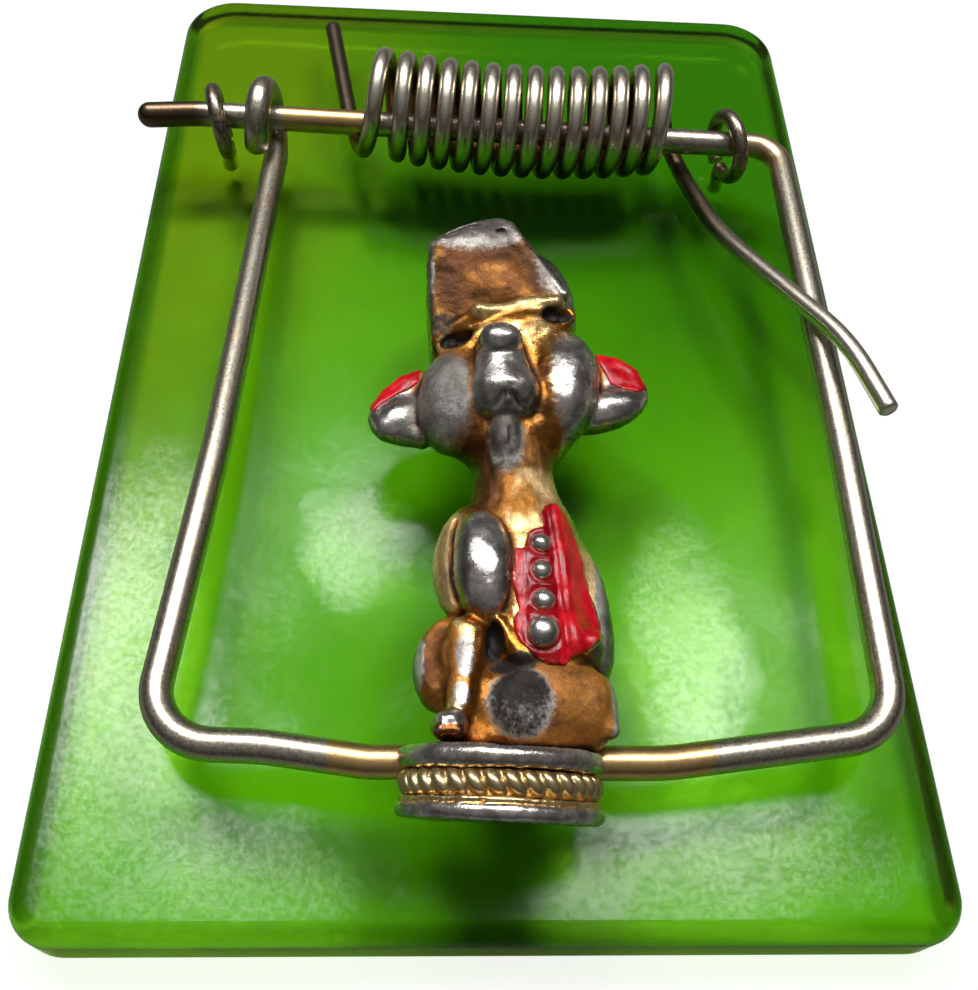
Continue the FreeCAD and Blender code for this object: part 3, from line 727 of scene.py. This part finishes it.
def model_cap(clay):
    """Flat-fronted cap with its thin raised rim, and the dome behind it."""
    clay.join(egg((2.2, 31.2, -1.8), (3.55, 5.0, 2.5), 8), 0.3)
    clay.join(slab(CAP_OUTLINE, -2.6, 1.9, 0.6), 0.25)
    clay.join(egg((-1.0, 34.2, 0.3), (3.0, 1.9, 1.8), 18), 0.6)
    clay.join(limb((1.1, 35.5, 1.6), (4.45, 29.4, 1.75), 0.32, 0.36), 0.2)
    clay.join(limb((-4.0, 33.6, 1.4), (-3.85, 27.4, 1.4), 0.35, 0.35), 0.2)
    clay.carve(egg((-0.2, 30.0, 7.9), (3.7, 4.2, 6.25)), 0.5)
    clay.groove([(-3.1, 34.3), (-2.3, 34.75), (-1.3, 35.15)], 0.22, 0.3)
    for x, up in CAP_PITS:
        clay.carve(egg((x, up, clay.front(x, up)), (0.17, 0.14, 0.2)), 0.05)


def model_ears(clay):
    """Two cupped ears, full below and hollowed above for their enamel."""
    clay.join(slab(EAR_LEFT, -1.3, 0.35, 0.75), 0.3)
    clay.join(slab(EAR_RIGHT, -1.1, 0.6, 0.75), 0.3)
    clay.join(egg((-5.7, 20.7, -0.3), (2.0, 1.25, 1.1), 35), 0.3)
    clay.join(egg((7.2, 21.6, 0.0), (2.2, 1.25, 1.1), 20), 0.3)
    clay.carve(egg((-6.4, 22.7, 1.3), (2.0, 0.85, 1.1), 42), 0.15)
    clay.carve(egg((8.1, 24.3, 1.7), (1.7, 1.2, 1.2), -38), 0.15)


def model_plinth(clay):
    """The plinth's two plates, its core and the thin bead under the rope."""
    clay.join(plate(-0.3, -1.42, (5.35, 4.2), 0.5), 0.1)
    clay.join(plate(-1.2, -3.1, (4.5, 3.3), 0.1), 0.05)
    clay.join(plate(-2.8, -3.02, (5.25, 4.12), 0.1), 0.05)
    clay.join(plate(-3.06, -3.9, (5.4, 4.2), 0.36), 0.05)


def fine_relief(points):
    """Cast surface: soft dents and a fine grain, in millimetres."""
    chest = spots(points, [((0.9, 14.6, 1.5), (2.9, 3.4, 3.4), 1.0)])
    creases = chest * lattice_noise(points * (1.0, 0.5, 1.0), 0.42, 6)
    return (0.06 * lattice_noise(points, 1.7, 3) + 0.034 * lattice_noise(points, 0.7, 4)
            + 0.015 * lattice_noise(points, 0.3, 5) + 0.09 * creases)


def make_figure():
    """Mesh the casting, its enamel and its buttons."""
    clay = Clay()
    model_head(clay)
    model_cap(clay)
    model_ears(clay)
    model_body(clay)
    model_plinth(clay)
    dressed = clay.field.copy()
    for (x, up), radius in BUTTONS:
        clay.join(egg((x, up, clay.front(x, up) + 0.15), (radius, radius, radius * 0.85)), 0.04)
    points, faces, bulge, normals = skin(clay.field, 10, clay.field)
    values = casting_values(points, bulge, normals)
    points = points + normals * fine_relief(points)[:, None]
    casting = mesh_object("figure_casting", placed(points), faces, casting_material(), values)
    jacket = make_enamel("jacket_inlay", dressed, clay.lines, [JACKET_OUTLINE], jacket_folds)
    ears = make_enamel("ear_inlays", dressed, clay.lines, EAR_OUTLINES, even_layer)
    return casting, jacket, ears


# Painted patches of the casting: centre, radii and strength

RUBBED = [
    ((0.1, 23.9, 4.2), (1.7, 1.6, 2.6), 1.0), ((0.35, 21.6, 3.4), (2.3, 2.4, 3.0), 1.0),
    ((0.4, 20.2, 3.0), (2.4, 1.2, 3.0), 0.95), ((-3.4, 20.9, 1.4), (2.2, 3.2, 3.4), 0.9),
    ((5.0, 22.2, 1.4), (2.0, 3.9, 3.4), 0.95), ((0.45, 18.1, 2.2), (1.15, 2.4, 2.0), 0.95),
    ((-6.2, 20.6, 0.2), (2.6, 2.3, 2.4), 0.9), ((8.4, 22.2, 0.4), (2.2, 2.8, 2.4), 0.9),
    ((-1.6, 35.4, 1.0), (4.2, 2.4, 4.0), 0.95), ((-4.5, 31.0, 0.3), (0.6, 5.4, 4.0), 0.85),
    ((4.2, 32.6, -0.6), (1.9, 5.4, 4.0), 0.9), ((-0.8, 9.6, 3.0), (1.75, 3.2, 2.4), 1.0),
    ((6.3, 7.2, -0.5), (1.1, 4.9, 3.4), 0.95), ((5.2, 4.7, 0.6), (1.2, 0.9, 1.6), 0.8),
    ((-2.0, 4.0, 2.5), (0.55, 1.3, 1.2), 0.8), ((-2.2, 1.9, 2.5), (0.5, 0.7, 1.2), 0.9),
    ((-2.75, 0.65, 2.6), (0.9, 0.62, 1.6), 0.95), ((-4.7, 4.4, 0.0), (0.6, 2.4, 2.4), 0.9),
    ((6.1, 1.9, 0.4), (0.45, 2.6, 2.4), 0.85),
    *[((x, up, 3.8), (radius, radius, 2.0), 1.0) for (x, up), radius in BUTTONS]]
AMBER = [
    ((3.4, 1.4, 1.8), (3.0, 2.8, 2.5), 1.0), ((-3.6, 23.0, 1.6), (1.6, 1.6, 2.6), 0.9),
    ((-1.7, 22.4, 2.8), (0.6, 2.0, 2.4), 1.2), ((2.75, 21.6, 2.6), (0.6, 2.6, 2.4), 1.2),
    ((-3.5, 4.2, 1.2), (1.3, 2.8, 2.4), 1.35), ((2.7, 18.7, 1.6), (1.2, 2.4, 2.4), 1.15),
    ((-1.3, 18.0, 1.4), (1.2, 2.2, 2.4), 1.25), ((-1.0, 2.4, 1.9), (1.2, 2.9, 2.6), 0.95),
    ((0.0, -0.7, 3.0), (5.0, 0.9, 5.0), 0.8), ((0.2, 33.3, 1.7), (4.0, 1.0, 2.5), 1.5),
    ((-2.8, -0.25, 2.8), (1.2, 0.5, 1.4), 1.5), ((-0.8, 15.4, 1.0), (1.6, 3.2, 3.0), 1.4),
    ((1.2, 16.9, 1.5), (2.4, 0.9, 3.0), 0.9), ((0.8, 13.4, 1.5), (1.6, 1.4, 3.0), 0.55),
    ((0.0, 4.6, 2.0), (1.2, 1.6, 2.0), 0.9), ((-1.0, 6.4, 2.0), (1.6, 0.7, 2.4), 0.8),
    ((-1.8, 24.0, 2.4), (1.2, 1.2, 2.4), 0.75), ((3.0, 24.6, 2.4), (1.0, 1.6, 2.4), 0.45)]
# Dirt and painted shade: the gap by the belly, the shade under the jacket and the chin, a crease by the brow, smudges
# on the seat, the eyes and the cap's pits.
GRIME_AND_SHADE = [
    ((-0.4, 5.1, 1.4), (0.5, 1.1, 1.8), 1.3), ((0.6, 3.7, 1.6), (1.5, 0.6, 2.0), 1.0),
    ((0.5, 16.1, 1.6), (0.9, 0.45, 1.6), 0.6), ((-3.4, 26.6, 1.8), (1.0, 1.0, 1.6), 0.75),
    ((3.5, 2.9, 2.2), (0.8, 0.35, 1.6), 0.5), ((4.6, 2.2, 2.0), (0.5, 0.6, 1.6), 0.42),
    ((2.6, 0.4, 2.4), (1.2, 0.3, 1.6), 0.4), *[((x, up, 2.2), (1.05, 0.56, 2.0), 1.4) for (x, up), _ in EYES],
    *[((x, up, 2.0), (0.2, 0.18, 1.0), 1.3) for x, up in CAP_PITS]]
MATT = [
    ((-3.3, 21.4, 1.6), (2.2, 3.8, 3.0), 0.8), ((0.45, 18.0, 2.0), (1.2, 2.2, 2.0), 0.7),
    ((-0.2, 30.4, 1.7), (4.2, 4.6, 2.5), 0.35), ((3.4, 1.6, 1.5), (3.4, 3.0, 3.0), 0.8),
    ((-3.4, 4.3, 1.0), (1.6, 3.0, 3.0), 0.7), ((0.9, 15.0, 1.5), (3.0, 3.4, 3.0), 0.5),
    ((-3.3, 10.0, 1.0), (1.1, 4.0, 3.0), 0.9), ((5.2, 8.0, 1.0), (0.9, 3.8, 2.0), 0.7),
    ((-1.4, 34.8, 1.4), (4.0, 1.6, 3.0), 0.3)]
SHADED = [
    ((-1.4, 35.0, 1.4), (4.0, 1.5, 3.0), 0.72), ((3.2, 32.6, 1.4), (1.5, 4.6, 2.0), 0.72),
    ((0.45, 18.0, 2.2), (1.2, 2.0, 2.4), 0.8), ((-3.4, 21.2, 1.6), (2.2, 3.4, 3.0), 0.6),
    ((0.9, 16.7, 1.2), (2.6, 1.3, 3.0), 0.55), ((2.4, 19.6, 2.4), (0.8, 1.4, 2.2), 0.5),
    ((-1.2, 19.8, 2.4), (0.7, 1.4, 2.2), 0.5), ((-3.6, 29.0, 1.4), (1.6, 4.6, 3.0), 0.55),
    ((0.5, 19.8, 3.0), (2.2, 1.0, 2.0), 0.4), ((4.9, 4.9, 1.6), (1.2, 1.0, 1.8), 0.6),
    ((0.2, 33.1, 1.8), (4.2, 0.9, 2.0), 0.55), ((0.1, 30.6, 1.8), (4.4, 3.4, 2.0), 0.3),
    ((6.6, 6.6, 0.0), (1.0, 4.6, 2.6), 0.55), ((-3.1, 10.0, 2.2), (0.45, 3.2, 1.6), 0.55),
    ((-2.1, 9.6, 3.0), (0.35, 3.0, 1.4), 0.6), ((0.5, 8.6, 2.6), (0.55, 2.8, 1.8), 0.5),
    ((-1.2, 15.6, 1.0), (1.2, 3.0, 2.6), 0.4)]
LIT_SIDES = [((5.2, 8.0, 1.0), (0.8, 3.6, 1.6), 0.8), ((-3.4, 10.0, 1.0), (0.9, 3.0, 2.0), 0.7)]
EYE_LIDS = [((x, up, 2.2), (1.5, 1.0, 2.0), 1.0) for (x, up), _ in EYES]
CAP_PANEL = [((0.1, 30.4, 1.7), (4.2, 4.6, 2.5), 1.0)]
SEAT_DISH = [((*DISH, 1.9), (1.7, 1.85, 1.6), 1.0)]


def rubbed_values(points, bulge):
    """Where the gilding is rubbed to grey: high places, the plinth's plates and the back."""
    level = in_plinth(points)[1]
    plates = np.maximum(ramp(level, -1.5, -1.25) * ramp(level, 0.1, -0.1), ramp(level, -3.05, -3.2))
    back = ramp(points[:, 2], 0.4, -1.6)
    grey = np.maximum(spots(points, RUBBED), 0.62 * np.maximum(plates, back))
    return np.clip(grey + 0.45 * ramp(bulge, 0.05, 0.16) - 0.4 * ramp(-bulge, 0.0, 0.08), 0, 1)


def amber_values(points, bulge):
    """Where the gilding is amber or dark brown: hollows and the cap's panel, whose top and left are darker as painted
    shade.
    """
    # Dark brown tone on the cap's panel, deepened towards its top and left as painted shade.
    dark_tone_and_shade = 1.3 + 0.6 * ramp(points[:, 1], 31.0, 33.5) + 0.8 * ramp(points[:, 0], -0.8, -3.8)
    amber = np.maximum(spots(points, AMBER), spots(points, CAP_PANEL) * dark_tone_and_shade)
    return np.maximum(amber, 1.3 * ramp(-bulge, 0.0, 0.08))


def grime_and_shade_values(points, bulge, dish):
    """Where the casting is dark with dirt and painted shade: creases, pits, eyes, recesses and the seat's dish,
    darkest at the dish's top.
    """
    grime_and_shade = np.maximum(spots(points, GRIME_AND_SHADE), ramp(-bulge, 0.03, 0.13))
    # The dish is darker towards its top as painted shade in the hollow.
    return np.maximum(grime_and_shade, ramp(dish, 0.0, 0.9) * (0.76 + 0.35 * ramp(points[:, 1], 0.8, 2.8)))


def shade_values(points, normals):
    """Where the casting is darkened in part: sides that turn away and shaded hollows."""
    level = in_plinth(points)[1]
    shade = 0.8 * ramp(normals[:, 2], 0.55, 0.0) * ramp(level, -0.3, 0.6)
    return np.maximum(shade * (1 - spots(points, LIT_SIDES)), spots(points, SHADED))


def casting_values(points, bulge, normals):
    """Where the gilding is rubbed to grey, amber, dark, matt or in shade."""
    lids = spots(points, EYE_LIDS)
    # The brow band is left light gold, in part a painted highlight along it.
    brow = ramp(limb(*BROW, 0.0, 0.0)[0](points), 1.0, 0.5)
    dish = spots(points, SEAT_DISH)
    grey = rubbed_values(points, bulge) * (1 - lids) * (1 - brow)
    matt = np.maximum(np.maximum(spots(points, MATT), dish), 0.5 * ramp(-bulge, 0.02, 0.1))
    return {"grey": np.maximum(grey, dish), "amber": np.maximum(amber_values(points, bulge), lids) * (1 - brow),
            "grime_and_shade": grime_and_shade_values(points, bulge, dish), "matt": matt, "shade": shade_values(points, normals)}


def jacket_folds(points):
    """Thickness of the jacket's enamel, with its lengthwise fold and a dent round each button."""
    x = points[..., 0]
    up = points[..., 1]
    lean = x - 3.35 - 0.085 * (12 - up)
    fold = 0.22 * np.exp(-(lean / 0.42) ** 2)
    groove = 0.16 * np.exp(-((lean + 0.62) / 0.18) ** 2) + 0.1 * np.exp(-((x - 1.2) / 0.18) ** 2)
    dent = np.zeros(x.shape)
    for (button_x, button_up), radius in BUTTONS:
        gap = np.hypot(x - button_x, up - button_up) - radius
        dent = np.maximum(dent, 0.12 * np.exp(-((gap - 0.04) / 0.12) ** 2))
    return 0.22 + fold - np.minimum(groove + dent, 0.15)


def even_layer(points):
    """Thin even layer of enamel."""
    return np.full(points.shape[:-1], 0.1)


def make_enamel(name, field, lines, outlines, thickness):
    """Layer over the casting inside flat outlines, as its own mesh."""
    layer = np.full(field.shape, 3.0, dtype=np.float32)
    for outline in outlines:
        corners = np.asarray(outline)
        sides = [slice(*np.searchsorted(line, (values.min() - 0.6, values.max() + 0.6)))
                 for line, values in zip(lines, corners.T)]
        cut = (*sides, slice(np.searchsorted(lines[2], -0.9), None))
        points = grid_points(lines, cut)
        flat = outline_distance(points[..., 0], points[..., 1], corners)
        ragged = 0.1 * lattice_noise(points.reshape(-1, 3), 0.55, 8).reshape(flat.shape)
        over = field[cut] - thickness(points)
        under = -(field[cut] + 0.25)
        layer[cut] = np.maximum(np.maximum(over, under), flat + ragged)
        layer[cut][..., 0] = 1.0
    points, faces, bulge, normals = skin(layer, 6, field)
    flat = np.min([outline_distance(points[:, 0], points[:, 1], outline) for outline in outlines], axis=0)
    right = ramp(points[:, 0], 4.2, 5.2) * ramp(points[:, 1], 16.0, 15.0)
    # The button column's channel is darkened as painted shade and dirt.
    column = ramp(np.abs(points[:, 0] - 2.1), 1.1, 0.8) * ramp(points[:, 1], 16.0, 15.0)
    values = {"grime_and_shade": np.maximum(ramp(-bulge, -0.02, 0.06), 0.55 * column),
              "worn": ramp(flat, -0.35, 0.0) * (0.5 + 0.42 * right)}
    points = points + normals * fine_relief(points)[:, None]
    return mesh_object(name, placed(points), faces, ENAMEL, values)


ROPE_STRANDS = 32
ROPE_SLANT = 0.34
ROPE_HALVES = (4.62, 3.42)
ROPE_LEVEL = -2.12
ROPE_RISE = 0.68


def rope_bead(turns, level):
    """Height of the rope's oval beads: one on a crown, zero between them."""
    phase = (turns + ROPE_SLANT * level) % 1.0
    return np.sqrt(np.maximum(0.0, 1 - (2 * phase - 1) ** 2 - 0.9 * level ** 2))


def ring_faces(rings, sides):
    """Quads that join closed rings of points, each ring to the next."""
    ring, k = np.meshgrid(np.arange(rings - 1) * sides, np.arange(sides), indexing="ij")
    start = (ring + k).ravel()
    beside = (ring + (k + 1) % sides).ravel()
    return np.stack([start, beside, beside + sides, start + sides], axis=1)


def make_rope():
    """Rope moulding: slanted strands round the plinth's core."""
    around = ROPE_STRANDS * 18
    rings = 23
    tilt = np.linspace(-math.pi / 2, math.pi / 2, rings)[:, None]
    turn = np.arange(around)[None, :] / around
    bead = rope_bead(ROPE_STRANDS * turn, np.sin(tilt))
    bulge = 0.08 + 0.24 * np.cos(tilt) + 0.38 * bead
    x = (ROPE_HALVES[0] + bulge) * np.sin(2 * math.pi * turn)
    depth = (ROPE_HALVES[1] + bulge) * np.cos(2 * math.pi * turn)
    points = np.stack(from_plinth(x, ROPE_LEVEL + ROPE_RISE * np.sin(tilt), depth), axis=-1).reshape(-1, 3)
    bead = bead.ravel()
    # Between the beads the rope is darker, with dirt and painted shade.
    values = {"grey": 0.5 * ramp(bead, 0.85, 1.0), "amber": 0.45 + 1.1 * ramp(bead, 0.85, 0.2),
              "grime_and_shade": 1.1 * ramp(bead, 0.5, 0.1), "matt": 0.3 * ramp(bead, 0.6, 0.2)}
    return mesh_object("rope_moulding", placed(points), ring_faces(rings, around),
                       bpy.data.materials["gilt_pewter"], values)


# The spring

SPRING_WIRE = 1.28
SPRING_RADIUS = 3.47
SPRING_TURNS = 14
SPRING_PITCH = 1.6
SPRING_LEFT = -8.75
SPRING_LIFT = 0.69
SPRING_Z = BLOCK_TOP + SPRING_LIFT + SPRING_RADIUS
COIL_BACK = 1.45
COIL_BOW = 1.35
FIRST_TURN_OUT = 1.5
LAST_TURN_OUT = 1.25
STEPS_IN_TURN = 48
LEG_STRAIGHT = 2.4
LEG_SPACING = 0.4
AXLE_Y = 19.1
AXLE_SLANT = math.tan(math.radians(1.66))


def spring_point(turn):
    """A point of the coil after a number of turns."""
    x = SPRING_LEFT + SPRING_PITCH * turn
    share = 2 * turn / SPRING_TURNS - 1
    y = AXLE_Y - x * AXLE_SLANT + COIL_BACK - COIL_BOW * (1 - share * share)
    x -= FIRST_TURN_OUT * max(0.0, 1 - turn) ** 3
    x += LAST_TURN_OUT * max(0.0, turn - SPRING_TURNS + 1) ** 3
    angle = 2 * math.pi * turn
    return np.array([x, y - SPRING_RADIUS * math.sin(angle), SPRING_Z - SPRING_RADIUS * math.cos(angle)])


def rounded_run(corners, radius, spacing):
    """Points along straight runs whose inner corners are rounded."""
    corners = [np.asarray(corner, dtype=float) for corner in corners]
    line = [corners[0]]
    for before, corner, after in zip(corners, corners[1:], corners[2:]):
        back = before - corner
        ahead = after - corner
        reach = min(radius, np.linalg.norm(back) * 0.45, np.linalg.norm(ahead) * 0.45)
        start = corner + back / np.linalg.norm(back) * reach
        end = corner + ahead / np.linalg.norm(ahead) * reach
        for share in np.linspace(0, 1, 9):
            line.append((1 - share) ** 2 * start + 2 * share * (1 - share) * corner + share ** 2 * end)
    line.append(corners[-1])
    spaced = [line[0]]
    for point in line[1:]:
        gap = np.linalg.norm(point - spaced[-1])
        pieces = max(1, int(gap / spacing))
        start = spaced[-1]
        spaced.extend(start + (point - start) * (k + 1) / pieces for k in range(pieces))
    return spaced


def tube(line, radius, sides):
    """Points and faces of a round wire along a line, with a small bevel at its flat ends."""
    line = np.asarray(line)
    ways = np.gradient(line, axis=0)
    ways /= np.linalg.norm(ways, axis=1)[:, None]
    side = np.cross(ways[0], (0.0, 0.0, 1.0))
    side /= np.linalg.norm(side)
    rings = []
    bevel = 0.12
    angles = np.arange(sides) * 2 * math.pi / sides
    for index, (spot, way) in enumerate(zip(line, ways)):
        side = side - way * (side @ way)
        side /= np.linalg.norm(side)
        other = np.cross(way, side)
        ring_radius = radius - bevel if index in (0, len(line) - 1) else radius
        rings.append(spot + ring_radius * (np.cos(angles)[:, None] * side + np.sin(angles)[:, None] * other))
    points = np.concatenate(rings + [line[:1], line[-1:]])
    faces = ring_faces(len(line), sides).tolist()
    first_center = len(line) * sides
    last = first_center - sides
    for k in range(0, sides, 2):
        faces.append((first_center, (k + 2) % sides, (k + 1) % sides, k))
        faces.append((first_center + 1, last + k, last + (k + 1) % sides, last + (k + 2) % sides))
    return points, faces


def make_spring():
    """The wound spring with its two legs."""
    start = spring_point(0)
    end = spring_point(SPRING_TURNS)
    small = 0.002
    start_way = spring_point(small) - start
    end_way = end - spring_point(SPRING_TURNS - small)
    start_way /= np.linalg.norm(start_way)
    end_way /= np.linalg.norm(end_way)
    left_end = (start[0] - 2.7, 34.4, start[2])
    low_bend = (end[0] + 2.0, 10.1, BLOCK_TOP + 2.4)
    over_arm = (23.17, -2.9, 10.76)
    right_end = (24.72, -8.7, 10.91)
    left = rounded_run([left_end, start - start_way * LEG_STRAIGHT, start], 2.0, LEG_SPACING)
    right = rounded_run([end, end + end_way * LEG_STRAIGHT, low_bend, over_arm, right_end], 3.6, LEG_SPACING)
    coil = [spring_point(k / STEPS_IN_TURN) for k in range(1, SPRING_TURNS * STEPS_IN_TURN)]
    line = left + coil + right
    near_tip = 0.7
    line.insert(1, line[1] + (line[0] - line[1]) * near_tip)
    line.insert(-1, line[-2] + (line[-1] - line[-2]) * near_tip)
    sides = 20
    points, faces = tube(line, SPRING_WIRE / 2, sides)
    rings = np.repeat(np.asarray(line), sides, axis=0)
    rings = np.concatenate([rings, line[:1], line[-1:]])
    center_y = AXLE_Y - rings[:, 0] * AXLE_SLANT + 0.9
    outward = rings - np.stack([rings[:, 0], center_y, np.full(len(rings), SPRING_Z)], axis=1)
    outward /= np.maximum(np.linalg.norm(outward, axis=1), 1e-6)[:, None]
    facing = np.einsum("ij,ij->i", points - rings, outward) / (SPRING_WIRE / 2)
    in_coil = (rings[:, 0] > start[0] - 0.3) & (rings[:, 0] < end[0] + 0.3) & (rings[:, 1] > 15.0)
    # The inner sides of the turns, browned in the spring material as tarnish and painted shade.
    values = {"inner": np.where(in_coil, ramp(facing, 0.55, 0.0), 0.0)}
    spring = mesh_object("wound_spring", points, faces, spring_material(), values)
    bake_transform(spring)
    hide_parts("torsion_spring")
    return spring


# Stage: floor, lights and camera

def make_floor():
    """Wide floor just under the object."""
    size = 2500.0
    floor = mesh_object("floor", [(-size, -size, -0.02), (size, -size, -0.02), (size, size, -0.02),
                                  (-size, size, -0.02)], [(0, 1, 2, 3)], floor_material())


def floor_material():
    """Matt white with a faint grain; to the camera it is white with a faint contact shadow."""
    s = Shading("pale_floor")
    place = s.millimetres()
    spread = s.axes(place)
    grain = s.noise(place, 0.4, 3.0, 0.6)
    outside = s.step(past_rim(s, spread), -1.0, 1.0)
    pale = s.mix(grain, (0.78, 0.78, 0.78), (0.84, 0.84, 0.84))
    s.set("Base Color", s.mix(outside, pale, (0.16, 0.16, 0.15)))
    s.set("Roughness", 0.9)
    paper = s.node("BsdfDiffuse", (0.8, 0.8, 0.8))
    glow = s.node("Emission", (1, 1, 1), 1.1)
    bright = s.node("MixShader", 0.75, paper.outputs[0], glow.outputs[0])
    s.surface_for(s.node("LightPath").outputs["Is Camera Ray"], s.shader.outputs[0], bright.outputs[0])
    return s.material


def area_light(name, place, size, power):
    """Soft rectangular light aimed at the object's middle."""
    light = bpy.data.lights.new(name, "AREA")
    light.shape = "RECTANGLE"
    light.size = size[0]
    light.size_y = size[1]
    light.energy = power
    made = bpy.data.objects.new(name, light)
    made.location = place
    made.rotation_euler = (-Vector(place)).to_track_quat("-Z", "Y").to_euler()
    bpy.context.scene.collection.objects.link(made)


def make_world():
    """Dim room, lighter overhead than at its sides, seen as white by the camera."""
    world = bpy.data.worlds.new("room")
    bpy.context.scene.world = world
    s = Nodes(world)
    up = s.node("SeparateXYZ", s.node("TexCoord").outputs["Generated"]).outputs[2]
    strength = s.node("MapRange", up, 0.25, 0.95, 0.02, 0.2).outputs[0]
    room = s.node("Background", (1, 0.97, 0.92), strength)
    white = s.node("Background", (1, 1, 1))
    seen = s.node("LightPath").outputs["Is Camera Ray"]
    both = s.node("MixShader", seen, room.outputs[0], white.outputs[0])
    s.node("OutputWorld", both.outputs[0])


# The photograph's camera: place in millimetres, then pitch, yaw and roll in degrees
CAMERA_PLACE = (-4.086, -48.630, 65.255)
CAMERA_ANGLES = (58.44372, 6.113115, 6.309897)
CAMERA_LENS = 39.825


def make_camera():
    """Camera at the photograph's place and angle."""
    pitch, yaw, roll = [math.radians(angle) for angle in CAMERA_ANGLES]
    ahead = Vector((math.sin(yaw) * math.cos(pitch), math.cos(yaw) * math.cos(pitch), -math.sin(pitch)))
    level = Vector((math.cos(yaw), -math.sin(yaw), 0))
    upright = level.cross(ahead)
    right = level * math.cos(roll) + upright * math.sin(roll)
    up = -level * math.sin(roll) + upright * math.cos(roll)
    data = bpy.data.cameras.new("camera")
    data.lens = CAMERA_LENS
    data.clip_start = 0.001
    data.clip_end = 20
    made = bpy.data.objects.new("camera", data)
    turn = Matrix((right, up, -ahead)).transposed().to_4x4()
    made.matrix_world = Matrix.Translation(Vector(CAMERA_PLACE) * MM) @ turn
    bpy.context.scene.collection.objects.link(made)
    bpy.context.scene.camera = made


def set_material(node, material):
    """Give a carried-over node its material."""
    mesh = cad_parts[node].data
    mesh.materials.clear()
    mesh.materials.append(material)


FIGURE_NODES = ["figure_seat", "figure_body", "figure_head", "arm_left", "arm_right", "haunch_left", "leg_left",
                "figure_cap", "nose", "ear_left", "ear_right", "plinth", "jacket_buttons"]

ENAMEL = enamel_material()
set_material("base_block", acrylic_material())
set_material("striker_bail", nickel_material("nickel_wire", (0.46, 0.41, 0.32), (0.66, 0.61, 0.51)))
eye_wire = nickel_material("eye_wire", (0.17, 0.13, 0.09), (0.48, 0.43, 0.35))
for node in ("screw_eye_left", "screw_eye_right"):
    set_material(node, eye_wire)

casting, jacket, ears = make_figure()
rope = make_rope()
for piece, slot, nodes in ((casting, "gilt_pewter", FIGURE_NODES), (jacket, "red_enamel", ["jacket_enamel"]),
                           (ears, "red_enamel", ["ear_enamel"]), (rope, "gilt_pewter", ["rope_band"])):
    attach(piece, "bail")
    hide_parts(*nodes)
make_spring()

make_floor()
make_world()
area_light("left_panel", (-0.195, 0.225, 0.6), (0.1, 0.3), 2.1)
area_light("back_panel", (-0.070, 0.325, 0.6), (0.15, 0.09), 1.0)
area_light("right_panel", (0.165, 0.170, 0.6), (0.11, 0.2), 1.7)
make_camera()
bpy.context.scene.view_settings.view_transform = "Standard"
